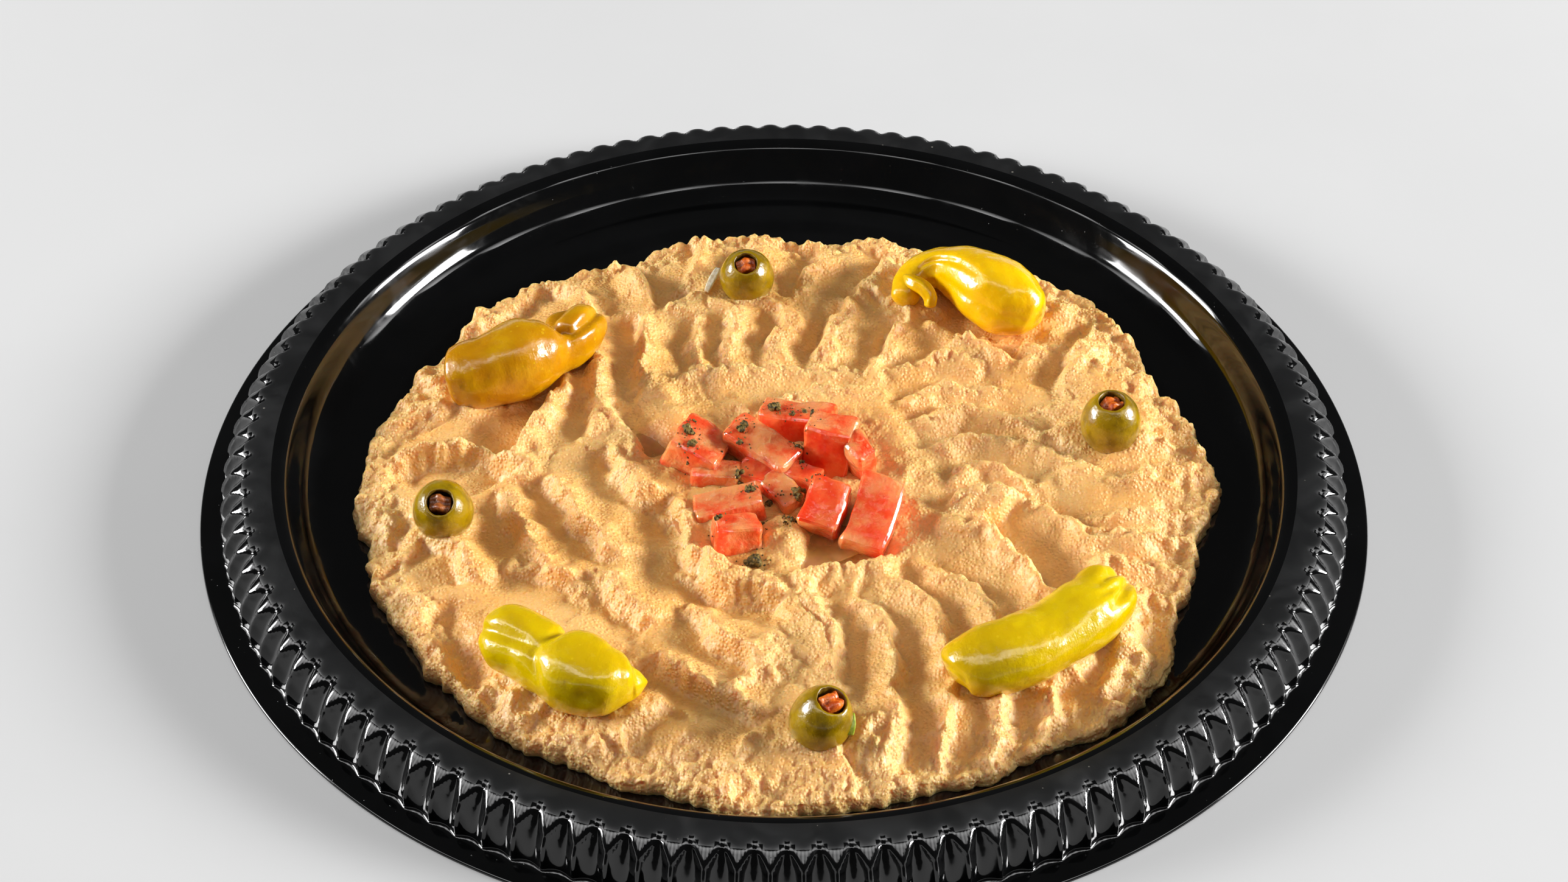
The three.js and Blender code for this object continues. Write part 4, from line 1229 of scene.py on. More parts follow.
@dataclass
class Pepper:
    """A pickled pepper, lofted along a curve of stations."""

    node: str
    finish: str
    stations: tuple[tuple[float, float, float, float], ...]
    lobes: int = 3
    lobe_turn: float = 0.0
    lobe_share: float = 0.03
    dents: tuple[Dent, ...] = ()
    creases: tuple[Crease, ...] = ()
    scars: tuple[Dent, ...] = ()  # brown marks: their height is how brown they are
    shift: float = 0.0  # moves the unevenness, so that no two are alike
    uneven: float = 0.45  # height of the broad unevenness
    uneven_fine: float = 0.12  # and of the fine one
    columns: int = 96
    rows: int = 128
    cap: float = 0.07  # share of the length that each rounded end takes
    end_reach: float = 0.1  # the ends stand out by this share of their radius
    look: float = 0.004  # step along the curve that gives its direction

    def _frames(self) -> list[tuple[Vector, Vector, Vector, float]]:
        """Middle, side, lift and radius for each row of the mesh.

        Returns:
            The rows from one end of the pepper to the other.
        """
        table = np.array(self.stations, float)
        for end, near in ((0, 1), (-1, -2)):
            outwards = table[end, :3] - table[near, :3]
            table[end, :3] += outwards / np.linalg.norm(outwards) * self.end_reach * table[end, 3]
        frames = []
        for row in range(self.rows + 1):
            share = 0.5 - 0.5 * math.cos(math.pi * row / self.rows)
            here = catmull(table, share)
            before, after = max(share - self.look, 0.0), min(share + self.look, 1.0)
            ahead = catmull(table, after) - catmull(table, before)
            direction = Vector(ahead[:3]).normalized()
            side = direction.cross(Vector((0, 0, 1))).normalized()
            lift = side.cross(direction)
            ends = min(share, 1.0 - share)
            cap = math.sqrt(max(0.0, 1.0 - max(0.0, 1.0 - ends / self.cap) ** 2))
            frames.append((Vector(here[:3]), side, lift, float(here[3]) * cap))
        return frames

    def _swell(self, share: float, around: float) -> float:
        """Change of the radius from dents and creases, in millimetres.

        Args:
            share: The place along the pepper, from 0 to 1.
            around: Degrees round it.

        Returns:
            The change, above 0 outwards.
        """
        total = 0.0
        for dent in self.dents:
            turn = (around - dent.around + 180.0) % 360.0 - 180.0
            along = (share - dent.along) / dent.half_along
            total += dent.height * math.exp(-(along**2) - (turn / dent.half_around) ** 2)
        for crease in self.creases:
            du = crease.to_along - crease.along
            dv = (crease.to_around - crease.around) / 360.0
            u = share - crease.along
            v = ((around - crease.around + 180.0) % 360.0 - 180.0) / 360.0
            t = min(max((u * du + v * dv) / (du * du + dv * dv), 0.0), 1.0)
            away = math.hypot(u - t * du, v - t * dv)
            fade = math.sin(math.pi * min(max(t, 0.06), 0.94))
            total -= crease.depth * fade**0.5 * math.exp(-((away / crease.width) ** 2))
        return total

    def wrap(self) -> tuple[bmesh.types.BMesh, list[float], list[float]]:
        """Wraps a sphere's points round the curve.

        Returns:
            The mesh, how brown each point is, and how far along the curve it lies.
        """
        frames = self._frames()
        bm = bmesh.new()
        bmesh.ops.create_uvsphere(bm, u_segments=self.columns, v_segments=self.rows, radius=1.0)
        marks: list[float] = []
        places: list[float] = []
        length = sum((b[0] - a[0]).length for a, b in zip(frames, frames[1:]))
        for vert in bm.verts:
            row = round(math.acos(max(-1.0, min(1.0, vert.co.z))) / math.pi * self.rows)
            angle = math.atan2(vert.co.y, vert.co.x)
            share = 0.5 - 0.5 * math.cos(math.pi * row / self.rows)
            middle, side, lift, radius = frames[row]
            around = math.degrees(angle)
            lobed = 1.0 + self.lobe_share * math.cos(self.lobes * (angle - math.radians(self.lobe_turn)))
            body = min(1.0, radius / 3.0)
            wide = radius * lobed + body * self._swell(share, around)
            place = middle + side * wide * math.cos(angle) + lift * wide * math.sin(angle)
            rough = self.uneven * wobble(place, 9.0, 2, self.shift)
            rough += self.uneven_fine * wobble(place, 3.0, 2, self.shift)
            place += (side * math.cos(angle) + lift * math.sin(angle)) * body * rough
            vert.co = place
            marks.append(self._scar_at(share, around, place))
            places.append(share * length)
        bmesh.ops.recalc_face_normals(bm, faces=bm.faces)
        return bm, marks, places

    def build(self, finishes: Finishes) -> None:
        """Dresses the pepper.

        Args:
            finishes: Every material of the platter.
        """
        bm, marks, places = self.wrap()
        piece = finish_piece(f"{self.node}_skin", bm, [getattr(finishes, self.finish)])
        carry(piece, "scar", marks)
        carry(piece, "along", places)
        register(piece, "pepper", self.node)

    def _scar_at(self, share: float, around: float, place: Vector) -> float:
        """How brown the skin is at a place.

        Args:
            share: The place along the pepper, from 0 to 1.
            around: Degrees round it.
            place: The place in millimetres, for the scars' ragged edges.

        Returns:
            0 on clean skin to 1 in the middle of a scar.
        """
        total = 0.0
        for mark in self.scars:
            turn = (around - mark.around + 180.0) % 360.0 - 180.0
            away = ((share - mark.along) / mark.half_along) ** 2 + (turn / mark.half_around) ** 2
            total += mark.height * math.exp(-away * away)
        return min(max(total * (1.0 + 0.9 * wobble(place, 1.6, 3, 9.0)), 0.0), 1.0)


PEPPERS = (
    Pepper(
        "pepper_1", "pepper_amber",
        (
            (-104, 26.5, 17.4, 8.2), (-99.5, 26.5, 18.4, 10.6), (-92, 28, 19.4, 11.4),
            (-84, 31.5, 20.4, 12.4), (-77.5, 35, 20.2, 10.9), (-72, 39, 19.4, 8.6), (-68, 43.5, 19, 8.4),
            (-64.5, 49.5, 18.6, 7.9), (-62, 55.5, 17.4, 5),
        ),
        lobe_turn=60.0, shift=1.0,
        scars=(
            Dent(0.03, 40, 0.025, 35, 0.8), Dent(0.13, -30, 0.015, 8, 0.8), Dent(0.12, 20, 0.012, 6, 0.5),
        ),
        dents=(
            Dent(0.45, 125, 0.08, 45, 1.2), Dent(0.63, 125, 0.045, 50, -3), Dent(0.63, 20, 0.06, 50, -0.8),
            Dent(0.8, 165, 0.1, 30, 2), Dent(0.84, 92, 0.1, 26, 0.9), Dent(0.94, 15, 0.08, 32, 1),
        ),
        creases=(
            Crease(0.58, 130, 0.69, 56, 0.026, 2.2), Crease(0.68, 58, 0.98, 55, 0.034, 2),
            Crease(0.66, 135, 0.96, 130, 0.034, 2), Crease(0.1, 20, 0.36, 35, 0.03, 0.4),
            Crease(0.07, 75, 0.3, 95, 0.02, 0.35),
        ),
    ),
    Pepper(
        "pepper_2", "pepper_yellow",
        (
            (81.5, 58, 17, 5.2), (75, 61.5, 18.8, 10.2), (67, 67.5, 20.2, 11.8), (58.5, 75.5, 20.4, 9.8),
            (50.5, 80.5, 19.4, 7), (44, 80, 18, 5.8), (39.5, 75, 16.6, 4.8), (38.5, 68, 14.6, 4.2),
        ),
        lobes=4, lobe_turn=20.0, shift=2.0,
        scars=(Dent(0.01, 110.0, 0.02, 90.0, 0.5),),
        dents=(
            Dent(0.1, 150, 0.05, 40, -1), Dent(0.2, 200, 0.08, 30, 0.9), Dent(0.3, 110, 0.1, 30, 0.6),
            Dent(0.55, 150, 0.08, 40, -0.8),
        ),
        creases=(
            Crease(0.3, 125, 0.75, 115, 0.02, 0.8), Crease(0.08, 165, 0.5, 165, 0.022, 0.7),
            Crease(0.5, 185, 0.8, 170, 0.025, 0.9),
        ),
    ),
    Pepper(
        "pepper_3", "pepper_lemon",
        (
            (47, -98, 15.5, 4.6), (50, -97, 17.2, 8), (57, -96, 18.4, 10.2), (66, -93, 19, 10.7),
            (73, -88, 19, 10.6), (81, -82, 19, 10.9), (88, -76, 18.4, 10.2), (93, -69, 17, 8.6),
            (97, -63, 15.4, 4.7),
        ),
        lobe_turn=30.0, shift=3.0,
        scars=(Dent(0.02, 40.0, 0.02, 60.0, 0.35),),
        dents=(
            Dent(0.04, 60, 0.03, 60, -1), Dent(0.55, 115, 0.1, 60, -1.4), Dent(0.86, 125, 0.07, 40, 2),
            Dent(0.7, 60, 0.07, 25, 0.8), Dent(0.86, 30, 0.1, 25, 0.9), Dent(0.95, 110, 0.06, 30, 0.9),
        ),
        creases=(
            Crease(0.78, 92, 0.99, 92, 0.026, 2), Crease(0.7, 74, 0.9, 60, 0.02, 0.9),
            Crease(0.74, 48, 0.98, 58, 0.024, 1.6), Crease(0.03, 100, 0.12, 20, 0.016, 0.7),
        ),
    ),
    Pepper(
        "pepper_4", "pepper_lemon",
        (
            (-82, -84, 16, 5.6), (-78, -87, 17.6, 9.2), (-71, -92, 18.2, 9.6), (-65, -97, 18.4, 9.8),
            (-59, -101, 19.2, 11.4), (-52, -104, 18.8, 10.8), (-47, -104, 17.8, 8.7),
            (-43, -103, 16.2, 5.2), (-38, -101, 14.6, 1.6),
        ),
        lobes=4, lobe_turn=45.0, shift=4.0,
        scars=(
            Dent(0.62, 12, 0.04, 14, 0.15), Dent(0.86, 18, 0.008, 22, 0.7), Dent(0.4, 128, 0.01, 8, 0.6),
        ),
        dents=(
            Dent(0.39, 125, 0.05, 50, -2), Dent(0.62, 12, 0.05, 18, -1.2), Dent(0.14, 100, 0.12, 30, 1),
            Dent(0.14, 10, 0.1, 28, 0.8), Dent(0.88, 60, 0.05, 30, -0.8), Dent(0.8, 70, 0.05, 30, 0.7),
        ),
        creases=(
            Crease(0.02, 45, 0.36, 62, 0.036, 1.9), Crease(0.36, 62, 0.46, 5, 0.03, 0.9),
            Crease(0.86, 40, 0.88, -20, 0.014, 0.9),
        ),
    ),
)


@dataclass
class Stalk:
    """The stalk that curls back over the second pepper."""

    points: tuple[tuple[float, float, float, float], ...] = (
        (38.5, 76, 18.2, 2.2), (41, 72, 20.2, 2.5), (44.5, 69, 20, 2.5), (46.5, 66.5, 18.2, 2.2),
        (46.5, 64.5, 16, 1.8),
    )

    def build(self, finishes: Finishes) -> None:
        """Wraps a small, even pepper shape round the stalk's curve.

        Args:
            finishes: Every material of the platter.
        """
        even = {"uneven": 0.0, "uneven_fine": 0.0, "columns": 32, "rows": 48}
        shape = Pepper("stalk", "pepper_yellow", self.points, lobes=5, lobe_share=0.07, **even)
        bm, _, _ = shape.wrap()
        register(finish_piece("pepper_2_stalk", bm, [finishes.pepper_yellow]), "pepper")


# ---- Olives --------------------------------------------------------------------------------------
@dataclass
class Olive:
    """A bored green olive and the strip of pimento in it."""

    number: int
    middle: Point
    axis: Point
    grow: float
    filling: str
    filling_turn: float
    sunk: float = 0.3  # how far the filling ends below the mouth
    half: float = 8.8
    tall: float = 10.5
    bore: float = 3.75
    depth: float = 15.0
    sides: int = 72
    arc_steps: int = 36
    lip: float = 0.55  # width of the rounded mouth
    dent: float = 0.25
    ragged: float = 0.18
    ragged_depth: float = 1.5  # the mouth is ragged down to here
    strip_width: float = 6.2
    strip_thickness: float = 5.0
    strip_rounding: float = 1.1

    def _rim(self) -> float:
        """Height of the mouth of the bore above the olive's middle."""
        return self.tall * math.sin(math.acos((self.bore + 0.5) / self.half))

    def _stand(self, bm: bmesh.types.BMesh) -> None:
        """Grows, turns and moves a shape made round the Z axis.

        Args:
            bm: The shape round the Z axis.
        """
        bmesh.ops.scale(bm, vec=(self.grow,) * 3, verts=bm.verts)
        turn = Vector((0, 0, 1)).rotation_difference(Vector(self.axis).normalized())
        bmesh.ops.rotate(bm, matrix=turn.to_matrix(), verts=bm.verts)
        bmesh.ops.translate(bm, vec=self.middle, verts=bm.verts)

    def _build_body(self, finishes: Finishes) -> None:
        """Spins the outline and bores it.

        Args:
            finishes: Every material of the platter.
        """
        mouth = math.acos((self.bore + self.lip) / self.half)
        outline = []
        for step in range(self.arc_steps + 1):
            angle = -math.pi / 2 + (math.pi / 2 + mouth) * step / self.arc_steps
            outline.append((self.half * math.cos(angle), self.tall * math.sin(angle)))
        outline[0] = (0.0, -self.tall)
        rim = self._rim()
        inner, bottom = self.bore - 0.1, rim - self.depth
        bore = [
            (self.bore + 0.18, rim + 0.02), (self.bore, rim - 0.25), (inner, rim - 0.8), (inner, rim - 3.0),
            (inner, rim - 8.0), (self.bore - 0.2, bottom + 0.4), (self.bore - 0.8, bottom), (0.0, bottom),
        ]
        bm = spin_outline(outline + bore, self.sides)
        bmesh.ops.recalc_face_normals(bm, faces=bm.faces)
        for face in bm.faces:
            middle = face.calc_center_median()
            if math.hypot(middle.x, middle.y) < self.bore + 0.1 and middle.z > bottom - 0.1:
                face.material_index = 1
        for vert in bm.verts:
            move = self.dent * wobble(vert.co, 9.0, 2, 20.0 * self.number)
            near_mouth = vert.co.z > rim - self.ragged_depth
            ragged = self.ragged * wobble(vert.co, 1.6, 2, 7.0 * self.number) if near_mouth else 0.0
            away = math.hypot(vert.co.x, vert.co.y)
            if away > 0.1:
                vert.co.x *= (away + move + ragged) / away
                vert.co.y *= (away + move + ragged) / away
        self._stand(bm)
        piece = finish_piece(f"olive_{self.number}_body", bm, [finishes.olive_skin, finishes.olive_flesh])
        register(piece, "olive", f"olive_{self.number}")

    def _build_filling(self, finishes: Finishes) -> None:
        """A folded strip of pimento that ends a little below the mouth.

        Args:
            finishes: Every material of the platter.
        """
        rim = self._rim()
        top, bottom = rim - self.sunk, rim - self.depth + 0.6
        size = (self.strip_width, self.strip_thickness, top - bottom)
        bm = rounded_block(size, self.strip_rounding, segments=4, cuts=3)
        for vert in bm.verts:
            fold = 0.55 * math.cos(vert.co.x * 1.5) - 0.9 * math.exp(-((vert.co.y / 0.55) ** 2))
            if vert.co.z > 0:
                vert.co.z += fold * min(1.0, vert.co.z / 4.0)
            vert.co.z += 0.3 * wobble(vert.co, 1.8, 3, 3.0 * self.number)
            vert.co.y += 0.35 * math.sin(vert.co.x * 0.9 + self.number)
            vert.co *= 1.0 + 0.05 * wobble(vert.co, 2.0, 2, 5.0 * self.number)
        limit = self.bore - 0.35
        for vert in bm.verts:
            away = math.hypot(vert.co.x, vert.co.y)
            if away > limit:
                vert.co.x *= limit / away
                vert.co.y *= limit / away
        bmesh.ops.rotate(bm, matrix=Matrix.Rotation(math.radians(self.filling_turn), 3, "Z"), verts=bm.verts)
        bmesh.ops.translate(bm, vec=(0, 0, (top + bottom) / 2), verts=bm.verts)
        bmesh.ops.recalc_face_normals(bm, faces=bm.faces)
        self._stand(bm)
        piece = finish_piece(f"pimento_{self.number}_strip", bm, [getattr(finishes, self.filling)])
        register(piece, "pimento", f"pimento_{self.number}")

    def build(self, finishes: Finishes) -> None:
        """Builds the olive and its filling."""
        self._build_body(finishes)
        self._build_filling(finishes)


OLIVES = (
    Olive(1, (-12.6, 79, 16.5), (-0.03, -0.39, 0.92), 1.0, "pimento", 10.0),
    Olive(2, (99.9, 7.4, 17), (-0.05, -0.09, 0.99), 1.06, "pimento", 35.0),
    Olive(3, (-100.9, -33.9, 17), (0, -0.53, 0.85), 1.03, "pimento_dark", 0.0),
    Olive(4, (10.5, -116.7, 16.4), (0.3, -0.16, 0.94), 1.03, "pimento", 40.0, -0.9, 8.5, 11.2, 4.1),
)


# ---- Tomatoes and herbs --------------------------------------------------------------------------
class Side(Enum):
    """The side of a dice that is the tomato's outer skin, in the dice's own frame."""

    NONE = (0, 0, 0)
    RIGHT = (1, 0, 0)
    LEFT = (-1, 0, 0)
    FRONT = (0, -1, 0)
    TOP = (0, 0, 1)


@dataclass
class Dice:
    """One dice of tomato: wet cut flesh, with the skin on one side."""

    middle: Point
    size: Point
    angles: Point
    skin: Side = Side.NONE
    rounding: float = 1.7
    most_rounding: float = 0.26  # share of the shortest side
    bulge: float = 0.6  # how far the skin bulges
    dent: float = 1.1  # height of the broad dents
    dent_fine: float = 0.14

    def _turn(self) -> Matrix:
        """The dice's rotation: lean about Y, then tilt about X, then turn about Z."""
        turn, tilt, lean = (math.radians(angle) for angle in self.angles)
        return Matrix.Rotation(turn, 3, "Z") @ Matrix.Rotation(tilt, 3, "X") @ Matrix.Rotation(lean, 3, "Y")

    def build(self, number: int, finishes: Finishes) -> bpy.types.Object:
        """Bevels, dents and places the dice.

        Args:
            number: Its place in the heap.
            finishes: The platter's materials.

        Returns:
            The dice's piece.
        """
        rounding = min(self.rounding, self.most_rounding * min(self.size))
        bm = rounded_block(self.size, rounding, segments=3, cuts=7, profile=0.6)
        skin = Vector(self.skin.value)
        for face in bm.faces:
            if skin.length and face.normal.dot(skin) > 0.6:
                face.material_index = 1
        bm.normal_update()
        shift = 37.0 * number
        moves = []
        for vert in bm.verts:
            broad, fine = wobble(vert.co, 9.0, 2, shift), wobble(vert.co, 3.0, 2, shift + 9.0)
            moves.append(vert.normal * (self.dent * broad + self.dent_fine * fine))
        across, length = self._width_of_skin()
        for vert, move in zip(bm.verts, moves):
            vert.co += move
            if skin.length:
                out = max(0.0, 1.0 - (2 * vert.co.dot(across) / length) ** 2)
                vert.co += skin * self.bulge * out * max(0.0, vert.normal.dot(skin))
        bmesh.ops.rotate(bm, matrix=self._turn(), verts=bm.verts)
        bmesh.ops.translate(bm, vec=self.middle, verts=bm.verts)
        piece = finish_piece(f"tomato_{number}_dice", bm, [finishes.tomato_cut, finishes.tomato_skin])
        register(piece, "tomato", f"tomato_{number}")
        return piece

    def _width_of_skin(self) -> tuple[Vector, float]:
        """The direction across the skin in which it bulges, and the dice's length in it.

        Returns:
            The direction and the length in millimetres.
        """
        if self.skin in (Side.LEFT, Side.RIGHT):
            return Vector((0, 1, 0)), self.size[1]
        return Vector((1, 0, 0)), self.size[0]


DICE = (
    Dice((-6.6, -4.2, 15.2), (23, 11.5, 10.5), (-39, 8, 8), Side.LEFT),
    Dice((-26.5, -3.4, 13.6), (16, 16.5, 12.5), (-24, -6, 18)),
    Dice((12.1, -29.4, 14.6), (12.2, 16, 11), (-22, 24, 10), Side.TOP),
    Dice((26.5, -31.6, 13.4), (13, 24, 11), (-20, 24, 8), Side.RIGHT),
    Dice((13.6, -3.6, 15.6), (14.6, 11, 19.5), (-13, -8, 4), Side.FRONT),
    Dice((4.0, 11.2, 13.4), (23, 11, 10), (-15, -8, -4), Side.FRONT),
    Dice((23.0, -7.4, 14.2), (10, 7, 17), (-55, 10, 8)),
    Dice((-16.4, -26.2, 11.8), (20.5, 11.5, 9), (10, -4, -10)),
    Dice((-14.0, -39.2, 12), (14, 10, 12), (9, -8, 3)),
    Dice((-20.4, -12.4, 11.4), (15, 8.4, 9), (-8, 0, -4)),
    Dice((-0.6, -19.5, 11.4), (14, 8.4, 8.6), (-52, 10, 6)),
    Dice((5.5, -14.4, 11.8), (12, 9, 9), (-24, 0, 0), Side.TOP),
    Dice((-8.4, -13.4, 11.2), (11.5, 9, 9), (-20, 0, 0), Side.TOP),
)


@dataclass
class Herbs:
    """Clumps of crumbled dried leaves on the heap."""

    seed: int = 5
    flakes: float = 3.4  # large flakes for each millimetre of a clump's radius
    crumbs: float = 5.0  # loose crumbs for each millimetre
    # x, y and radius of each clump
    clumps: tuple[Point, ...] = (
        (-3.2, 12.4, 2.4), (2, 8.5, 1.5), (6.1, 10, 1.3), (8.3, 3.2, 1.4), (5.2, -0.8, 2.6),
        (4.3, -3.6, 1.8), (4.8, -6.6, 1.5), (5.4, -11.3, 1.2), (-16.6, 5.2, 1.5), (-9.1, 6.1, 1),
        (-13.1, -0.7, 2.2), (-13.4, -7.1, 1.9), (-16.6, -5.4, 1.6), (-29.2, -2.5, 2.4), (-28.1, -7.5, 2),
        (-27.4, 2.2, 0.9), (-28.9, -11.1, 0.8), (-14, -15.8, 1.9), (-10.4, -25.3, 2), (-4.6, -23.6, 1.8),
        (-7, -33.6, 1.6), (-19.6, -36.8, 1.6), (4.8, -23.6, 2.6), (8.5, -22.7, 1.6), (2.2, -31.8, 1.6),
        (17.7, -17.7, 1.6), (3.4, -33.6, 1.6), (0.7, -35.5, 0.8), (-9, -48.1, 3), (-18, -18.6, 1),
    )

    def build(self, finishes: Finishes, under: Sequence[bpy.types.Object]) -> None:
        """Crumples small balls into flakes and scatters crumbs round each clump.

        Args:
            finishes: The platter's materials.
            under: The pieces that the flakes lie on.
        """
        draw = random.Random(self.seed)
        grounds = [self._ground(piece) for piece in under]
        bm = bmesh.new()
        for x, y, radius in self.clumps:
            for _ in range(max(3, round(self.flakes * radius))):
                spread, size = 0.6 * radius, radius * draw.uniform(0.32, 0.6)
                at_x, at_y = x + draw.uniform(-1, 1) * spread, y + draw.uniform(-1, 1) * spread
                level = self._level(grounds, at_x, at_y) + 0.45 * size
                self._flake(bm, Vector((at_x, at_y, level)), size, draw, 2)
            for _ in range(round(self.crumbs * radius)):
                turn, away = draw.uniform(0, TAU), radius * draw.uniform(1.1, 2.4)
                at_x, at_y = x + away * math.cos(turn), y + away * math.sin(turn)
                level = self._level(grounds, at_x, at_y) + 0.1
                self._flake(bm, Vector((at_x, at_y, level)), draw.uniform(0.15, 0.42), draw, 1)
        register(finish_piece("dried_herbs", bm, [finishes.herb]), "tomato")

    @staticmethod
    def _ground(piece: bpy.types.Object) -> BVHTree:
        """A search tree of a piece, in metres."""
        places = [vert.co for vert in piece.data.vertices]
        return BVHTree.FromPolygons(places, [tuple(face.vertices) for face in piece.data.polygons])

    @staticmethod
    def _level(grounds: Sequence[BVHTree], x: float, y: float) -> float:
        """Height of the highest ground at a place, in millimetres.

        Args:
            grounds: The search trees of what the herbs lie on.
            x: The place along X in millimetres.
            y: The place along Y.

        Returns:
            The height.
        """
        start, down = Vector((x * MM, y * MM, 0.1)), Vector((0.0, 0.0, -1.0))
        hits = [ground.ray_cast(start, down)[0] for ground in grounds]
        return max(hit.z for hit in hits if hit is not None) / MM

    @staticmethod
    def _flake(bm: bmesh.types.BMesh, at: Vector, radius: float, draw: random.Random, level: int) -> None:
        """Adds one crumpled flake.

        Args:
            bm: The mesh of all flakes.
            at: The flake's middle in millimetres.
            radius: Half its width.
            draw: The source of random numbers.
            level: How finely its ball is divided.
        """
        made = bmesh.ops.create_icosphere(bm, subdivisions=level, radius=radius)["verts"]
        shift = draw.uniform(0, 500)
        for vert in made:
            vert.co *= 1.0 + 0.75 * wobble(vert.co / radius * 3.0, 3.2, 2, shift)
        turn = Quaternion((draw.uniform(-1, 1), draw.uniform(-1, 1), draw.uniform(-1, 1), 0.3)).normalized()
        flat = Matrix.Diagonal((1.0, draw.uniform(0.6, 1.0), draw.uniform(0.5, 0.9)))
        place = Matrix.Translation(at) @ (turn.to_matrix() @ flat).to_4x4()
        bmesh.ops.transform(bm, matrix=place, verts=made)


# ---- Juice and small bits ------------------------------------------------------------------------
@dataclass
class Juice:
    """The thin juice that gathers round the tomatoes."""

    pools: tuple[Oval, ...] = (
        Oval(-1, -24, 33, 26, 0, 9.4), Oval(-24, 24, 17, 7, -35, 9.6), Oval(-43, 4, 12, 6, -30, 9.6),
        Oval(-12, -52, 14, 7, 0, 8.6),
    )
    thickness: float = 0.5

    def wetness(self, x: np.ndarray, y: np.ndarray, height: np.ndarray) -> np.ndarray:
        """How wet the hummus is: below or just above a pool's level.

        Args:
            x: Places along X in millimetres.
            y: Places along Y.
            height: The hummus's height at each place.

        Returns:
            Numbers from 0, dry, to 1.
        """
        wet = np.zeros(x.shape)
        for pool in self.pools:
            near = smooth_step(pool.inside(x, y), -0.15, 0.2)
            wet = np.maximum(wet, near * smooth_step(pool.amount + 0.9 - height, 0.0, 1.4))
        return wet

    def build(self, finishes: Finishes) -> None:
        """One thin sheet for each pool, which the hummus cuts off where it rises.

        Args:
            finishes: Every material of the platter.
        """
        bm = bmesh.new()
        for pool in self.pools:
            made = bmesh.ops.create_circle(bm, cap_ends=True, segments=64, radius=1.0)["verts"]
            turn = Matrix.Rotation(math.radians(pool.turn), 4, "Z")
            stretch = Matrix.Diagonal((pool.half_x, pool.half_y, 1.0, 1.0))
            place = Matrix.Translation((pool.x, pool.y, pool.amount)) @ turn @ stretch
            bmesh.ops.transform(bm, matrix=place, verts=made)
        grown = bmesh.ops.extrude_face_region(bm, geom=bm.faces[:])["geom"]
        lower = [item for item in grown if isinstance(item, bmesh.types.BMVert)]
        bmesh.ops.translate(bm, vec=(0, 0, -self.thickness), verts=lower)
        bmesh.ops.recalc_face_normals(bm, faces=bm.faces)
        register(finish_piece("tomato_juice", bm, [finishes.juice], flat=True), "tomato")


@dataclass(frozen=True)
class Sliver:
    """A small bent bit of vegetable from one point to another."""

    name: str
    finish: str
    slot: str
    start: Point
    end: Point
    width: float
    thickness: float
    bend: float
    taper: float = 0.35  # the ends are narrower by this share
    uneven: float = 0.12

    def build(self, finishes: Finishes) -> None:
        """Bends a thin block between the two points.

        Args:
            finishes: Every material of the platter.
        """
        start, end = Vector(self.start), Vector(self.end)
        length = (end - start).length
        size = (self.width, length, self.thickness)
        bm = rounded_block(size, 0.3 * self.thickness, segments=2, cuts=5)
        for vert in bm.verts:
            share = 2 * vert.co.y / length
            vert.co.x *= 1.0 - self.taper * share * share
            vert.co.z += self.bend * (1 - share * share)
            vert.co += Vector((1, 1, 1)) * self.uneven * wobble(vert.co, 1.5, 2, 3.0)
        turn = Vector((0, 1, 0)).rotation_difference((end - start).normalized())
        bmesh.ops.rotate(bm, matrix=turn.to_matrix(), verts=bm.verts)
        bmesh.ops.translate(bm, vec=(start + end) / 2, verts=bm.verts)
        register(finish_piece(self.name, bm, [getattr(finishes, self.finish)]), self.slot)


SLIVERS = (
    Sliver("onion_sliver", "onion", "hummus", (-25.6, 75, 13.6), (-22.0, 85, 15.2), 2.4, 1.1, 0.6),
    Sliver("green_flap", "greens", "olive", (18.6, -121.6, 15.5), (18.9, -117.0, 19.5), 2.6, 0.9, 0.5),
)


# ---- Studio --------------------------------------------------------------------------------------
@dataclass(frozen=True)
class Softbox:
    """A rectangular lamp."""

    name: str
    place: Point
    width: float
    height: float
    power: float
    mirrored: bool = True  # whether shiny surfaces show it
    lighting: bool = True  # whether matt surfaces are lit by it
    aim: Point = (0.0, 0.0, 0.0)
    spread: float = 180.0  # degrees

    def build(self) -> None:
        """Adds the lamp."""
        lamp = bpy.data.lights.new(self.name, "AREA")
        lamp.shape = "RECTANGLE"
        lamp.size = self.width
        lamp.size_y = self.height
        lamp.energy = self.power
        lamp.spread = math.radians(self.spread)
        item = bpy.data.objects.new(self.name, lamp)
        item.visible_glossy = self.mirrored
        item.visible_diffuse = self.lighting
        item.location = self.place
        ahead = Vector(self.aim) - Vector(self.place)
        item.rotation_euler = ahead.to_track_quat("-Z", "Y").to_euler()
        bpy.context.scene.collection.objects.link(item)


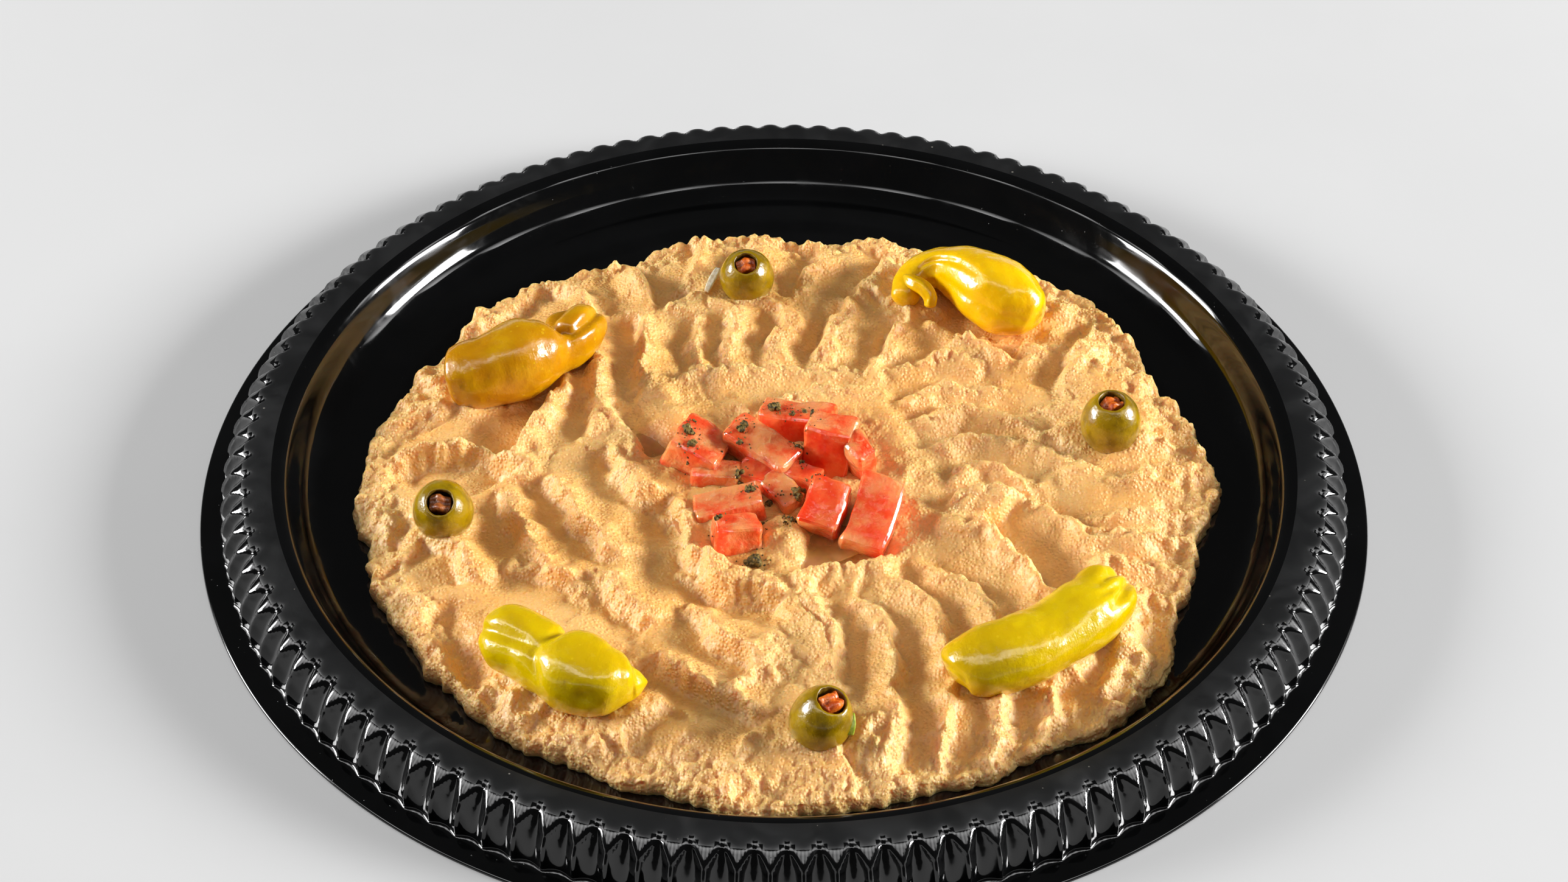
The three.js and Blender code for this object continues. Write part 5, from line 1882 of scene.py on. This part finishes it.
@dataclass
class Studio:
    """The pale table, the lamps and the camera."""

    elevation: float = 42.209  # degrees, of the camera seen from the tray's middle
    distance: float = 0.910685  # metres from there
    pitch: float = 0.7269  # degrees, as yaw and roll
    yaw: float = 0.0105
    roll: float = -0.3820
    lens: float = 67.81
    sensor: float = 36.0
    ambient: float = 0.05
    table_half: float = 3000.0
    table_drop: float = 0.02  # so that the table and the tray don't share a plane
    softboxes: tuple[Softbox, ...] = (
        Softbox("softbox_right", (3.0, 0.0, 0.9), 1.3, 0.7, 182.0),
        Softbox("softbox_left", (-2.8, 0.24, 0.84), 1.4, 0.7, 118.0),
        Softbox("soft_ceiling", (0.0, 0.2, 2.0), 4.0, 3.0, 16.0, mirrored=False),
    )
    # Small lamps that the shoulder of the rim mirrors towards the camera.
    glints: int = 11
    glint_step: float = 12.0  # degrees along the rim from one to the next
    glint_radius: float = 166.0
    glint_height: float = 15.0
    glint_tilt: float = 35.0  # tilt of the shoulder
    glint_away: float = 1.4
    glint_size: tuple[float, float] = (0.5, 0.4)
    glint_power: float = 0.06
    glint_spread: float = 24.0

    def _glint(self, number: int, viewer: Vector) -> Softbox:
        """One of the small lamps in front.

        Args:
            number: Its place in the row, from the left.
            viewer: The camera's place.

        Returns:
            The lamp, aimed at its part of the rim.
        """
        angle = math.radians((number - (self.glints - 1) / 2) * self.glint_step - 90.0)
        out, up = Vector((math.cos(angle), math.sin(angle), 0.0)), Vector((0.0, 0.0, 1.0))
        place = (self.glint_radius * out + self.glint_height * up) * MM
        tilt = math.radians(self.glint_tilt)
        facing = out * math.sin(tilt) + up * math.cos(tilt)
        view = (viewer - place).normalized()
        lamp = place + (2.0 * view.dot(facing) * facing - view) * self.glint_away
        aimed = {"aim": tuple(place), "spread": self.glint_spread, "lighting": False}
        return Softbox(f"glint_{number}", tuple(lamp), *self.glint_size, self.glint_power, **aimed)

    def _add_camera(self) -> None:
        """Places the camera."""
        tilt = math.radians(self.elevation)
        place = Vector((0.0, -self.distance * math.cos(tilt), self.distance * math.sin(tilt)))
        ahead = (-place).normalized()
        right = Vector((1.0, 0.0, 0.0))
        up = right.cross(ahead)
        axes = [right, up, ahead]
        for angle, number in ((self.yaw, 1), (self.pitch, 0), (self.roll, 2)):
            turn = Matrix.Rotation(math.radians(angle), 3, axes[number])
            axes = [turn @ axis for axis in axes]
        right, up, ahead = axes
        camera = bpy.data.cameras.new("viewer")
        camera.lens = self.lens
        camera.sensor_width = self.sensor
        item = bpy.data.objects.new("viewer", camera)
        bpy.context.scene.collection.objects.link(item)
        turned = Matrix((right, up, -ahead)).transposed().to_4x4()
        item.matrix_world = Matrix.Translation(place) @ turned
        bpy.context.scene.camera = item

    def _add_table(self, finishes: Finishes) -> None:
        """A wide pale plane just under the tray.

        Args:
            finishes: Every material of the platter.
        """
        bm = bmesh.new()
        bmesh.ops.create_grid(bm, x_segments=1, y_segments=1, size=self.table_half)
        bmesh.ops.translate(bm, vec=(0, 0, -self.table_drop), verts=bm.verts)
        table = finish_piece("pale_table", bm, [finishes.table])

    def build(self, finishes: Finishes) -> None:
        """Adds everything round the platter.

        Args:
            finishes: Every material of the platter.
        """
        self._add_camera()
        self._add_table(finishes)
        viewer = bpy.context.scene.camera.matrix_world.translation
        glints = [self._glint(number, viewer) for number in range(self.glints)]
        for softbox in (*self.softboxes, *glints):
            softbox.build()
        world = bpy.data.worlds.new("studio")
        world.use_nodes = True
        background = world.node_tree.nodes["Background"]
        background.inputs["Color"].default_value = (1.0, 1.0, 1.0, 1.0)
        background.inputs["Strength"].default_value = self.ambient
        scene = bpy.context.scene
        scene.world = world
        scene.view_settings.view_transform = "Standard"


def main() -> None:
    """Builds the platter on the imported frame."""
    logging.basicConfig(level=logging.INFO, format="%(relativeCreated)6d ms %(name)s: %(message)s")
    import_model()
    finishes = Finishes()
    Studio().build(finishes)
    tray = Tray()
    tray.build(finishes)
    juice = Juice()
    spread = Hummus().build(finishes, tray, juice.wetness)
    juice.build(finishes)
    for pepper in PEPPERS:
        pepper.build(finishes)
    Stalk().build(finishes)
    for olive in OLIVES:
        olive.build(finishes)
    heap = [dice.build(number, finishes) for number, dice in enumerate(DICE, start=1)]
    Herbs().build(finishes, [spread, *heap])
    for sliver in SLIVERS:
        sliver.build(finishes)


if __name__ == "__main__":
    main()
